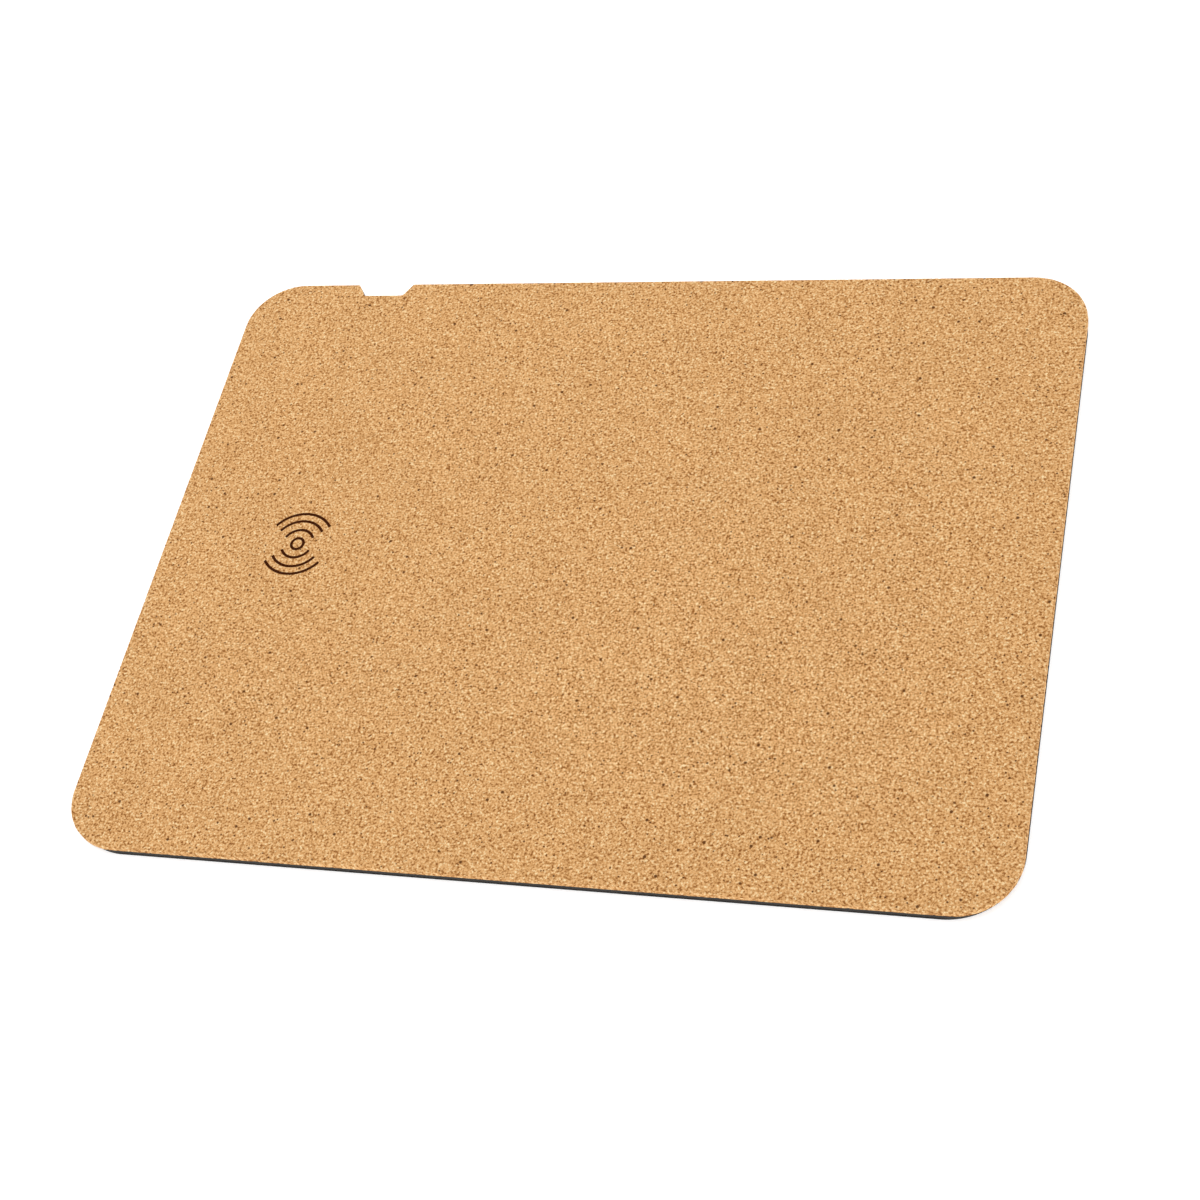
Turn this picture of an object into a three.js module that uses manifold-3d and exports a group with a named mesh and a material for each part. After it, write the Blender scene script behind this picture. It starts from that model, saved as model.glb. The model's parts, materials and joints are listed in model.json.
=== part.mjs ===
// A cork-topped mouse pad with a wireless charger inside it.
// Sizes are in millimetres and +Z is up. The origin is the centre of the underside. +X points to the
// right of the person at the desk, and +Y to the back edge, where the charging socket is.

import * as THREE from "three";
import { mergeVertices } from "three/addons/utils/BufferGeometryUtils.js";
import Module from "manifold-3d";

const wasm = await Module();
wasm.setup();

// Driving dimensions: the pad's outline
const padWidth = 300;
const padDepth = 230;
const cornerRadius = 19;

// The plug notch in the back edge
const notchFromLeft = 50.4;
const notchMouthWidth = 21;
const notchFloorWidth = 15;
const notchDepth = 5.1;
const notchInnerRadius = 1.8;
const notchMouthRadius = 0.9;

// The sheets that the pad is laminated from, named from the underside up. The core between the films is
// as thick as the coil that it holds.
const baseThickness = 0.6;
const filmThickness = 0.1;
const corkThickness = 2.2;
const corkEdgeRadius = 0.4;

// The charging spot, which the mark on the cork shows, is the middle of the coil
const coilFromLeft = 49.2;
const coilBehindMiddle = 1.1;

// The winding: a flat spiral of litz wire, which joins its outer lead at coilJoinAngle
const wireDiameter = 0.6;
const coilInnerRadius = 10.2;
const coilPitch = 1.12;
const coilTurns = 10;
const coilJoinAngle = THREE.MathUtils.degToRad(60);
const innerTurnRadius = 5;
const leadSpacing = 2.4;
const leadBend = 7;
const leadRise = 5;
const leadOnBoard = 3;
const leastWireGap = 0.4;

// What the winding lies on and under
const shieldThickness = 0.75;
const shieldRim = 2.2;
const leadSlotWidth = 1.7;
const carrierThickness = 0.3;
const carrierRim = 1.2;
const coilPadThickness = 0.35;
const coilPocketRim = 3.6;
const channelWidth = 5.4;
const tapeThickness = 0.08;
const tapeInset = 0.3;

// The tapes' middles and length, as shares of the leads' straight run between the coil and the board
const tapePlaceShares = [0.18, 0.82];
const tapeLengthShare = 0.27;

// The circuit board
const boardWidth = 34;
const boardDepth = 24;
const boardThickness = 0.8;
const boardCornerRadius = 1;
const boardFromNotch = 2;
const boardPadThickness = 0.5;
const boardPadInset = 1;
const boardPocketMargin = 0.6;
const boardPocketRadius = 1.4;
const solderRadius = 1;
const solderHeight = 0.85;

// The charging socket: its shell, and the legs that hold the shell to the board
const shellWidth = 8.94;
const shellHeight = 3.16;
const shellWall = 0.3;
const shellDepth = 7.35;
const shellFromNotch = 0.2;
const shellLift = 0.05;
const legLength = 1.2;
const legReach = 1.3;
const legThickness = 0.3;
const legPlaceShares = [0.45, 0.85];

// The socket's tongue, and the insulator that holds it in the shell
const tongueWidth = 6.69;
const tongueThickness = 0.7;
const tongueFromMouth = 0.6;
const tongueChamfer = 0.4;
const tongueRootLength = 0.9;
const tongueRootThickness = 1.4;
const insulatorDepth = 2.2;

// The socket's contacts, whose places across the tongue are counted in pitches from its middle
const contactPitch = 0.5;
const contactWidth = 0.25;
const contactThickness = 0.15;
const contactProud = 0.05;
const contactFromTip = 0.5;
const contactTail = 1.1;
const contacts = [
  { name: "contact_supply_lower", pitches: -2.5, row: -1 },
  { name: "contact_sense_upper", pitches: -1.5, row: 1 },
  { name: "contact_ground_lower", pitches: -5.5, row: -1 },
  { name: "contact_sense_lower", pitches: 1.5, row: -1 },
  { name: "contact_supply_upper", pitches: 2.5, row: 1 },
  { name: "contact_ground_upper", pitches: 5.5, row: 1 },
];

// Clearances
const seatClearance = 0.05;
const looseClearance = 0.15;
const contactClearance = 0.02;
const cutOverrun = 1;

// How finely the round shapes are divided
const cornerSteps = 12;
const filletSteps = 4;
const edgeSteps = 3;
const circleSteps = 48;
const stadiumSteps = 8;
const domeSteps = 5;
const domeSides = 16;
const turnSteps = 24;
const bendSteps = 8;
const wireSides = 6;
const wireGapSamples = 12;
const mergeDistance = 1e-4;

// The packages on the board. A moulded one has draft and rounded corners, and a chip component has a
// metal cap at each end. Their places are shares of the board's width from its middle and of its depth
// from its front edge.
const packageRadius = 0.25;
const packageDraft = 0.08;
const capLength = 0.45;
const capThickness = 0.06;
const controllerSize = { width: 5, depth: 5, height: 0.9 };
const driverSize = { width: 3.3, depth: 3.3, height: 1 };
const chokeSize = { width: 4, depth: 4, height: 1.85 };
const resonanceSize = { width: 3.2, depth: 1.6, height: 1.6 };
const supplySize = { width: 2, depth: 1.25, height: 1.25 };
const resistorSize = { width: 3.2, depth: 1.6, height: 0.6 };
const thermistorSize = { width: 1.6, depth: 0.8, height: 0.8 };
const boardParts = [
  { name: "controller_chip", size: controllerSize, look: "package", placeShares: [-0.1, 0.44] },
  { name: "driver_chip_left", size: driverSize, look: "package", placeShares: [-0.33, 0.42] },
  { name: "driver_chip_right", size: driverSize, look: "package", placeShares: [0.16, 0.42] },
  { name: "choke", size: chokeSize, look: "choke", placeShares: [0.36, 0.85] },
  { name: "resonance_capacitor_1", size: resonanceSize, look: "capacitor", placeShares: [0.36, 0.24] },
  { name: "resonance_capacitor_2", size: resonanceSize, look: "capacitor", placeShares: [0.36, 0.36] },
  { name: "resonance_capacitor_3", size: resonanceSize, look: "capacitor", placeShares: [0.36, 0.48] },
  { name: "resonance_capacitor_4", size: resonanceSize, look: "capacitor", placeShares: [0.36, 0.6] },
  { name: "supply_capacitor_1", size: supplySize, look: "capacitor", placeShares: [-0.39, 0.78] },
  { name: "supply_capacitor_2", size: supplySize, look: "capacitor", placeShares: [-0.39, 0.9] },
  { name: "supply_capacitor_3", size: supplySize, look: "capacitor", placeShares: [-0.27, 0.78] },
  { name: "sense_resistor", size: resistorSize, look: "resistor", placeShares: [-0.33, 0.62] },
  { name: "thermistor", size: thermistorSize, look: "resistor", placeShares: [-0.19, 0.14] },
];

// Places seen from above
const coilX = coilFromLeft - padWidth / 2;
const coilY = coilBehindMiddle;
const notchX = notchFromLeft - padWidth / 2;
const notchFloorY = padDepth / 2 - notchDepth;
const boardRear = notchFloorY - boardFromNotch;
const boardFront = boardRear - boardDepth;
const socketY = notchFloorY - shellFromNotch;

// Heights of the pieces above the underside
const wireRadius = wireDiameter / 2;
const baseTop = baseThickness;
const floorZ = baseTop + filmThickness;
const leadZ = floorZ + seatClearance + wireRadius;
const carrierBottom = floorZ + shieldThickness;
const coilZ = carrierBottom + carrierThickness + seatClearance + wireRadius;
const coilPadBottom = coilZ + wireRadius + seatClearance;
const corkBottom = coilPadBottom + coilPadThickness;
const coreTop = corkBottom - filmThickness;
const boardBottom = floorZ + boardPadThickness;
const boardTop = boardBottom + boardThickness;
const leadOnBoardZ = boardTop + seatClearance + wireRadius;
const socketZ = floorZ + shellLift + shellHeight / 2;
const tallestPart = Math.max(...boardParts.map((part) => part.size.height));
const reliefTop = Math.max(
  boardTop + tallestPart + seatClearance,
  socketZ + shellHeight / 2 + seatClearance,
);

// Radii round the coil's middle
const innerEndAngle = Math.asin(innerTurnRadius / coilInnerRadius) - Math.PI / 2;
const coilSweep = coilTurns * 2 * Math.PI + coilJoinAngle - innerEndAngle;
const coilOuterRadius = coilInnerRadius + (coilPitch * coilSweep) / (2 * Math.PI);
const windingRadius = coilOuterRadius + wireRadius;

// The colour and finish of each kind of surface
const looks = {
  cork: new THREE.MeshStandardMaterial({ color: 0xd7a66e, roughness: 0.9, metalness: 0 }),
  film: new THREE.MeshStandardMaterial({ color: 0x655a4e, roughness: 0.4, metalness: 0 }),
  core: new THREE.MeshStandardMaterial({ color: 0x3d3a39, roughness: 0.85, metalness: 0 }),
  base: new THREE.MeshStandardMaterial({ color: 0x2b2a2b, roughness: 0.95, metalness: 0 }),
  ferrite: new THREE.MeshStandardMaterial({ color: 0x2f3032, roughness: 0.7, metalness: 0.1 }),
  carrier: new THREE.MeshStandardMaterial({ color: 0x17181a, roughness: 0.5, metalness: 0 }),
  copper: new THREE.MeshStandardMaterial({ color: 0xb5683a, roughness: 0.35, metalness: 0.9 }),
  foam: new THREE.MeshStandardMaterial({ color: 0x4a4b4e, roughness: 1, metalness: 0 }),
  tape: new THREE.MeshStandardMaterial({ color: 0xc98a2b, roughness: 0.3, metalness: 0 }),
  board: new THREE.MeshStandardMaterial({ color: 0x14532f, roughness: 0.45, metalness: 0 }),
  shell: new THREE.MeshStandardMaterial({ color: 0xc4c6c8, roughness: 0.3, metalness: 1 }),
  tongue: new THREE.MeshStandardMaterial({ color: 0x151515, roughness: 0.5, metalness: 0 }),
  contact: new THREE.MeshStandardMaterial({ color: 0xd9b45a, roughness: 0.25, metalness: 1 }),
  solder: new THREE.MeshStandardMaterial({ color: 0xb9bcc0, roughness: 0.3, metalness: 0.9 }),
  package: new THREE.MeshStandardMaterial({ color: 0x1c1c1e, roughness: 0.6, metalness: 0 }),
  choke: new THREE.MeshStandardMaterial({ color: 0x5b5d60, roughness: 0.6, metalness: 0.3 }),
  capacitor: new THREE.MeshStandardMaterial({ color: 0xb08d62, roughness: 0.5, metalness: 0 }),
  resistor: new THREE.MeshStandardMaterial({ color: 0x26262a, roughness: 0.5, metalness: 0 }),
};

// A closed mesh as a solid that can be joined and cut.
function solidOf(geometry) {
  const bare = geometry.clone();
  bare.deleteAttribute("normal");
  bare.deleteAttribute("uv");
  const merged = mergeVertices(bare, mergeDistance);
  return new wasm.Manifold(
    new wasm.Mesh({
      numProp: 3,
      vertProperties: merged.attributes.position.array,
      triVerts: new Uint32Array(merged.index.array),
    }),
  );
}

// A solid back as a mesh with flat faces.
function geometryOf(solid) {
  const mesh = solid.getMesh();
  const shared = new THREE.BufferGeometry();
  shared.setAttribute("position", new THREE.BufferAttribute(mesh.vertProperties, 3));
  shared.setIndex(new THREE.BufferAttribute(mesh.triVerts, 1));
  const geometry = shared.toNonIndexed();
  geometry.computeVertexNormals();
  return geometry;
}

// The first mesh with the others joined to it.
function joined(first, ...others) {
  const whole = others.reduce((solid, other) => solid.add(solidOf(other)), solidOf(first));
  return geometryOf(whole);
}

// The mesh with the tools cut out of it.
function cut(geometry, ...tools) {
  const left = tools.reduce((solid, tool) => solid.subtract(solidOf(tool)), solidOf(geometry));
  return geometryOf(left);
}

// A flat shape given thickness upwards.
function slab(shape, thickness) {
  return new THREE.ExtrudeGeometry(shape, {
    depth: thickness,
    bevelEnabled: false,
    curveSegments: circleSteps / 2,
  });
}

// A shape drawn in X and Z, extruded from y = 0 towards -Y.
function extrudedInwards(shape, depth) {
  const across = new THREE.Vector3(1, 0, 0);
  const up = new THREE.Vector3(0, 0, 1);
  const inwards = new THREE.Vector3(0, -1, 0);
  return slab(shape, depth).applyMatrix4(new THREE.Matrix4().makeBasis(across, up, inwards));
}

// A shape drawn in Y and Z, extruded along X with its middle at x = 0.
function extrudedAcross(shape, width) {
  const along = new THREE.Vector3(0, 1, 0);
  const up = new THREE.Vector3(0, 0, 1);
  const across = new THREE.Vector3(1, 0, 0);
  return slab(shape, width)
    .translate(0, 0, -width / 2)
    .applyMatrix4(new THREE.Matrix4().makeBasis(along, up, across));
}

// A box by its lowest and highest corners.
function boxBetween(low, high) {
  const sizes = high.map((value, axis) => value - low[axis]);
  const middles = high.map((value, axis) => (value + low[axis]) / 2);
  return new THREE.BoxGeometry(...sizes).translate(...middles);
}

// The points of an anticlockwise outline whose corners are rounded, drawn in all round by inset.
// The centre of each arc stays, so outlines with other insets have as many points, side by side.
function roundedOutline(corners, inset = 0) {
  return corners.flatMap((corner, i) => {
    const before = corners.at(i - 1);
    const after = corners[(i + 1) % corners.length];
    const arriving = new THREE.Vector2(corner.x - before.x, corner.y - before.y).normalize();
    const leaving = new THREE.Vector2(after.x - corner.x, after.y - corner.y).normalize();
    const turn = Math.atan2(arriving.cross(leaving), arriving.dot(leaving));
    const side = Math.sign(turn);
    const inwards = new THREE.Vector2(-arriving.y, arriving.x).multiplyScalar(side);
    const reach = corner.radius * Math.tan(Math.abs(turn) / 2);
    const centre = new THREE.Vector2(corner.x, corner.y)
      .addScaledVector(arriving, -reach)
      .addScaledVector(inwards, corner.radius);
    const spoke = inwards.clone().multiplyScalar(side * inset - corner.radius);
    return Array.from({ length: corner.steps + 1 }, (_, step) =>
      spoke
        .clone()
        .rotateAround(new THREE.Vector2(), (turn * step) / corner.steps)
        .add(centre),
    );
  });
}

// The four corners of a rectangle about a middle, for roundedOutline.
function rectangleCorners(width, depth, radius, steps, middleX = 0, middleY = 0) {
  const signs = [
    [-1, -1],
    [1, -1],
    [1, 1],
    [-1, 1],
  ];
  return signs.map(([signX, signY]) => ({
    x: middleX + (signX * width) / 2,
    y: middleY + (signY * depth) / 2,
    radius,
    steps,
  }));
}

// The pad's outline, with the plug notch in its back edge.
function padOutline(inset = 0) {
  const right = padWidth / 2;
  const back = padDepth / 2;
  const full = { radius: cornerRadius, steps: cornerSteps };
  const mouth = { radius: notchMouthRadius, steps: filletSteps };
  const inner = { radius: notchInnerRadius, steps: filletSteps };
  return roundedOutline(
    [
      { x: -right, y: -back, ...full },
      { x: right, y: -back, ...full },
      { x: right, y: back, ...full },
      { x: notchX + notchMouthWidth / 2, y: back, ...mouth },
      { x: notchX + notchFloorWidth / 2, y: notchFloorY, ...inner },
      { x: notchX - notchFloorWidth / 2, y: notchFloorY, ...inner },
      { x: notchX - notchMouthWidth / 2, y: back, ...mouth },
      { x: -right, y: back, ...full },
    ],
    inset,
  );
}

// A closed solid through level outlines with as many points each, given from the lowest up.
function lofted(levels) {
  const count = levels[0].outline.length;
  const positions = levels.flatMap(({ outline, z }) => outline.flatMap((p) => [p.x, p.y, z]));
  const index = [];
  for (let level = 0; level < levels.length - 1; level++) {
    for (let i = 0; i < count; i++) {
      const a = level * count + i;
      const b = level * count + ((i + 1) % count);
      index.push(a, b, b + count, a, b + count, a + count);
    }
  }
  const lids = [levels[0], levels.at(-1)].map(({ outline }) =>
    THREE.ShapeUtils.triangulateShape(outline, []),
  );
  const lastLevel = (levels.length - 1) * count;
  lids[0].forEach(([a, b, c]) => index.push(c, b, a));
  lids[1].forEach(([a, b, c]) => index.push(lastLevel + a, lastLevel + b, lastLevel + c));
  const geometry = new THREE.BufferGeometry();
  geometry.setAttribute("position", new THREE.Float32BufferAttribute(positions, 3));
  geometry.setIndex(index);
  geometry.computeVertexNormals();
  return geometry;
}

// A disc about the origin, with a slot from its middle out through its back edge.
function slottedDisc(radius, thickness, slotStart) {
  const circle = new THREE.Shape().absarc(0, 0, radius, 0, 2 * Math.PI);
  const slot = boxBetween(
    [-leadSlotWidth / 2, slotStart, -cutOverrun],
    [leadSlotWidth / 2, radius + cutOverrun, thickness + cutOverrun],
  );
  return cut(slab(circle, thickness), slot);
}

// A round-ended shape, drawn in X and Z about the origin.
function stadium(width, height) {
  const radius = height / 2;
  const straight = width / 2 - radius;
  const halfTurn = Math.PI / 2;
  const ends = [
    { x: straight, from: -halfTurn },
    { x: -straight, from: halfTurn },
  ];
  const points = ends.flatMap(({ x, from }) =>
    Array.from({ length: stadiumSteps + 1 }, (_, step) => {
      const angle = from + (Math.PI * step) / stadiumSteps;
      return new THREE.Vector2(x + radius * Math.cos(angle), radius * Math.sin(angle));
    }),
  );
  return new THREE.Shape(points);
}

// The outline of a bent strip, from the points along its middle.
function stripShape(middle, thickness) {
  const normals = middle.slice(1).map((point, i) => {
    const along = point.clone().sub(middle[i]).normalize();
    return new THREE.Vector2(-along.y, along.x);
  });
  const sideOf = (sign) =>
    middle.map((point, i) => {
      const before = normals[Math.max(i - 1, 0)];
      const after = normals[Math.min(i, normals.length - 1)];
      const offset = before.clone().add(after).divideScalar(1 + before.dot(after));
      return point.clone().addScaledVector(offset, (sign * thickness) / 2);
    });
  return new THREE.Shape([...sideOf(-1), ...sideOf(1).reverse()]);
}

// A tube along points that never climb straight up, with closed ends.
function tubeAlong(points, radius, sides) {
  const up = new THREE.Vector3(0, 0, 1);
  const rings = points.map((point, i) => {
    const before = points[Math.max(i - 1, 0)];
    const after = points[Math.min(i + 1, points.length - 1)];
    const along = after.clone().sub(before).normalize();
    const across = up.clone().cross(along).normalize();
    const over = along.clone().cross(across);
    return Array.from({ length: sides }, (_, side) => {
      const angle = ((side + 1 / 2) * 2 * Math.PI) / sides;
      return point
        .clone()
        .addScaledVector(across, radius * Math.cos(angle))
        .addScaledVector(over, radius * Math.sin(angle));
    });
  });
  const index = [];
  for (let ring = 0; ring < rings.length - 1; ring++) {
    for (let side = 0; side < sides; side++) {
      const a = ring * sides + side;
      const b = ring * sides + ((side + 1) % sides);
      index.push(a, b, b + sides, a, b + sides, a + sides);
    }
  }
  const last = (rings.length - 1) * sides;
  for (let side = 1; side < sides - 1; side++) {
    index.push(0, side + 1, side, last, last + side, last + side + 1);
  }
  const geometry = new THREE.BufferGeometry();
  geometry.setFromPoints(rings.flat());
  geometry.setIndex(index);
  geometry.computeVertexNormals();
  return geometry;
}

// The least distance between stretches of a path that lie further apart along it than skipped.
function leastGapToItself(path, skipped) {
  const fine = [];
  path.slice(1).forEach((point, i) => {
    for (let sample = 0; sample < wireGapSamples; sample++) {
      fine.push(path[i].clone().lerp(point, sample / wireGapSamples));
    }
  });
  const reached = [0];
  fine.slice(1).forEach((point, i) => reached.push(reached[i] + point.distanceTo(fine[i])));
  let least = Infinity;
  for (let i = 0; i < fine.length; i++) {
    for (let j = i + 1; j < fine.length; j++) {
      if (reached[j] - reached[i] > skipped) {
        least = Math.min(least, fine[i].distanceTo(fine[j]));
      }
    }
  }
  return least;
}

// What the core, its film and the cork leave free from one height to another: the coil's pocket, the
// leads' channel, the board's pocket and the socket's way out through the notch's wall.
function chargerPocket(low, high) {
  const height = high - low;
  const coilPocket = new THREE.Shape().absarc(
    coilX,
    coilY,
    windingRadius + coilPocketRim,
    0,
    2 * Math.PI,
  );
  const channelX = coilX + leadSpacing / 2;
  const channel = boxBetween(
    [channelX - channelWidth / 2, coilY + windingRadius, low],
    [channelX + channelWidth / 2, (boardFront + boardRear) / 2, high],
  );
  return joined(slab(coilPocket, height).translate(0, 0, low), channel, boardPocket(low, high));
}

// The board's pocket and the socket's way out, from one height to another.
function boardPocket(low, high) {
  const pocket = new THREE.Shape(
    roundedOutline(
      rectangleCorners(
        boardWidth + 2 * boardPocketMargin,
        boardDepth + 2 * boardPocketMargin,
        boardPocketRadius,
        filletSteps,
        notchX,
        (boardFront + boardRear) / 2,
      ),
    ),
  );
  const wayHalf = shellWidth / 2 + looseClearance;
  const wayOut = boxBetween(
    [notchX - wayHalf, boardRear - boardFromNotch, low],
    [notchX + wayHalf, notchFloorY + cutOverrun, high],
  );
  return joined(slab(pocket, high - low).translate(0, 0, low), wayOut);
}

// The cork top: its upper edge is rounded all round, and its underside is relieved over the board.
function corkSheet() {
  const levels = [{ outline: padOutline(), z: 0 }];
  for (let step = 0; step <= edgeSteps; step++) {
    const angle = ((step / edgeSteps) * Math.PI) / 2;
    levels.push({
      outline: padOutline(corkEdgeRadius * (1 - Math.cos(angle))),
      z: corkThickness - corkEdgeRadius * (1 - Math.sin(angle)),
    });
  }
  return cut(lofted(levels), boardPocket(-cutOverrun, reliefTop - corkBottom));
}

// The dark core, die-cut for the charger.
function coreSheet() {
  const thickness = coreTop - floorZ;
  const sheet = slab(new THREE.Shape(padOutline()), thickness);
  return cut(sheet, chargerPocket(-cutOverrun, thickness + cutOverrun));
}

// The adhesive film on the core's upper face, die-cut with it.
function corkFilm() {
  const sheet = slab(new THREE.Shape(padOutline()), filmThickness);
  return cut(sheet, chargerPocket(-cutOverrun, filmThickness + cutOverrun));
}

// A whole sheet of the pad's outline.
function wholeSheet(thickness) {
  return slab(new THREE.Shape(padOutline()), thickness);
}

// The points along the wire, about the coil's middle: from the board down the outer lead, round the
// spiral to its inner end, down through the slot under the winding, and back to the board.
function wirePath() {
  const leadEnd = boardFront + leadOnBoard - coilY;
  const riseEnd = boardFront - coilY;
  const riseStart = riseEnd - leadRise;
  const bendEnd = windingRadius + leadBend;
  const dropEnd = bendEnd + leadRise;
  const innerStart = innerTurnRadius / 2;
  const outerLead = [new THREE.Vector3(leadSpacing, leadEnd, leadOnBoardZ)];
  addSlope(outerLead, [leadSpacing, riseEnd, leadOnBoardZ], [leadSpacing, riseStart, leadZ]);
  addSlope(outerLead, [leadSpacing, dropEnd, leadZ], [leadSpacing, bendEnd, coilZ]);
  const spiral = spiralPoints();
  const outerBend = new THREE.CubicBezierCurve3(
    outerLead.at(-1),
    outerLead.at(-1).clone().add(new THREE.Vector3(0, -leadBend, 0)),
    spiral[0].clone().addScaledVector(spiralHeading(coilJoinAngle), -leadBend),
    spiral[0],
  );
  const innerEnd = new THREE.Vector3(0, -innerStart, coilZ);
  const innerBend = new THREE.CubicBezierCurve3(
    spiral.at(-1),
    spiral.at(-1).clone().addScaledVector(spiralHeading(innerEndAngle), innerStart),
    innerEnd.clone().add(new THREE.Vector3(0, -innerTurnRadius, 0)),
    innerEnd,
  );
  const innerLead = [];
  addSlope(innerLead, innerEnd.toArray(), [0, innerStart, leadZ]);
  addSlope(innerLead, [0, riseStart, leadZ], [0, riseEnd, leadOnBoardZ]);
  innerLead.push(new THREE.Vector3(0, leadEnd, leadOnBoardZ));
  return [
    ...outerLead,
    ...outerBend.getPoints(bendSteps).slice(1, -1),
    ...spiral,
    ...innerBend.getPoints(bendSteps).slice(1, -1),
    ...innerLead,
  ];
}

// Adds a smooth change of height between two places to a list of points.
function addSlope(points, from, to) {
  for (let step = 0; step <= bendSteps; step++) {
    const along = step / bendSteps;
    const point = new THREE.Vector3(...from).lerp(new THREE.Vector3(...to), along);
    point.z = THREE.MathUtils.lerp(from[2], to[2], THREE.MathUtils.smoothstep(along, 0, 1));
    points.push(point);
  }
}

// The spiral from its outer end inwards, clockwise seen from above.
function spiralPoints() {
  const steps = Math.round((coilSweep / (2 * Math.PI)) * turnSteps);
  return Array.from({ length: steps + 1 }, (_, step) => {
    const swept = (coilSweep * step) / steps;
    const radius = coilOuterRadius - (coilPitch * swept) / (2 * Math.PI);
    const angle = coilJoinAngle - swept;
    return new THREE.Vector3(radius * Math.cos(angle), radius * Math.sin(angle), coilZ);
  });
}

// Which way the wire runs, at an angle of the spiral.
function spiralHeading(angle) {
  return new THREE.Vector3(Math.sin(angle), -Math.cos(angle), 0);
}

// The winding with its two leads, as one tube.
function chargingCoil() {
  const path = wirePath();
  const gap = leastGapToItself(path, Math.PI * leadSpacing) - wireDiameter;
  console.log(
    `charging_coil: least gap to itself ${gap.toFixed(2)} mm, wanted over ${leastWireGap} mm`,
  );
  return tubeAlong(path, wireRadius, wireSides);
}

// The foam disc between the winding and the cork.
function coilPad() {
  const circle = new THREE.Shape().absarc(0, 0, windingRadius + carrierRim, 0, 2 * Math.PI);
  return slab(circle, coilPadThickness);
}

// A strip of tape across both leads.
function leadTape(length) {
  const half = channelWidth / 2 - tapeInset;
  return boxBetween([-half, -length / 2, 0], [half, length / 2, tapeThickness]);
}

// The way that the socket's shell takes out of the board, about the socket's mouth.
function shellCutout() {
  const half = shellWidth / 2 + looseClearance;
  return { half, rear: -shellDepth - looseClearance };
}

// The legs' places along the shell, from its mouth inwards.
function legPlaces() {
  return legPlaceShares.map((share) => -share * shellDepth);
}

// The circuit board, about its own middle: it is cut out for the shell and slotted for the legs.
function circuitBoard() {
  const outline = rectangleCorners(boardWidth, boardDepth, boardCornerRadius, filletSteps);
  const plate = slab(new THREE.Shape(roundedOutline(outline)), boardThickness);
  const mouthY = socketY - (boardFront + boardRear) / 2;
  const { half, rear } = shellCutout();
  const low = -cutOverrun;
  const high = boardThickness + cutOverrun;
  const cutout = boxBetween([-half, mouthY + rear, low], [half, boardDepth / 2 + cutOverrun, high]);
  const legHalf = legLength / 2 + looseClearance;
  const legOuter = shellWidth / 2 + legReach + looseClearance;
  const legInner = shellWidth / 2 + legReach - legThickness - looseClearance;
  const slots = legPlaces().flatMap((place) =>
    [-1, 1].map((side) => {
      const y = mouthY + place;
      const [left, right] = side < 0 ? [-legOuter, -legInner] : [legInner, legOuter];
      return boxBetween([left, y - legHalf, low], [right, y + legHalf, high]);
    }),
  );
  return cut(plate, cutout, ...slots);
}

// The foam tape under the board's front part, clear of the shell.
function boardPad() {
  const front = -boardDepth / 2 + boardPadInset;
  const rear = socketY + shellCutout().rear - (boardFront + boardRear) / 2 - boardPadInset;
  const half = boardWidth / 2 - boardPadInset;
  return boxBetween([-half, front, 0], [half, rear, boardPadThickness]);
}

// A moulded package that stands on z = 0.
function mouldedPackage({ width, depth, height }) {
  const corners = rectangleCorners(width, depth, packageRadius, filletSteps);
  return lofted([
    { outline: roundedOutline(corners), z: 0 },
    { outline: roundedOutline(corners, packageDraft), z: height },
  ]);
}

// A chip component that stands on its two end caps at z = 0.
function cappedComponent({ width, depth, height }) {
  const halfWidth = width / 2;
  const halfDepth = depth / 2;
  const inner = halfDepth - capThickness;
  const body = boxBetween(
    [-halfWidth + capThickness, -inner, capThickness],
    [halfWidth - capThickness, inner, height - capThickness],
  );
  const capEdge = halfWidth - capLength;
  const leftCap = boxBetween([-halfWidth, -halfDepth, 0], [-capEdge, halfDepth, height]);
  const rightCap = boxBetween([capEdge, -halfDepth, 0], [halfWidth, halfDepth, height]);
  return joined(body, leftCap, rightCap);
}

// A low dome of solder over a wire's end, which lies along Y. The dome's middle is at the origin.
function solderJoint() {
  const profile = Array.from({ length: domeSteps + 1 }, (_, step) => {
    const angle = ((step / domeSteps) * Math.PI) / 2;
    return new THREE.Vector2(solderRadius * Math.cos(angle), solderHeight * Math.sin(angle));
  });
  profile[domeSteps].x = 0;
  const dome = new THREE.LatheGeometry([new THREE.Vector2(), ...profile], domeSides);
  dome.rotateX(Math.PI / 2);
  const bore = new THREE.CylinderGeometry(
    wireRadius + seatClearance,
    wireRadius + seatClearance,
    solderRadius + cutOverrun,
    domeSides,
  ).translate(0, -(solderRadius + cutOverrun) / 2, leadOnBoardZ - boardTop);
  const slot = boxBetween(
    [-wireRadius - seatClearance, -solderRadius - cutOverrun, -cutOverrun],
    [wireRadius + seatClearance, 0, leadOnBoardZ - boardTop],
  );
  return cut(dome, bore, slot);
}

// The socket's drawn shell about its mouth's middle, with the legs that go down through the board.
function socketShell() {
  const outside = stadium(shellWidth, shellHeight);
  outside.holes.push(stadium(shellWidth - 2 * shellWall, shellHeight - 2 * shellWall));
  const tube = extrudedInwards(outside, shellDepth);
  const topZ = boardTop - socketZ;
  const bottomZ = topZ - boardThickness;
  const root = shellWidth / 2 - shellWall / 2;
  const outer = shellWidth / 2 + legReach;
  const legs = legPlaces().flatMap((place) =>
    [-1, 1].flatMap((side) => {
      const flange = legBox(side, root, outer, place, topZ, topZ + legThickness);
      const leg = legBox(side, outer - legThickness, outer, place, bottomZ, topZ + legThickness);
      return [flange, leg];
    }),
  );
  return joined(tube, ...legs);
}

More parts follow.
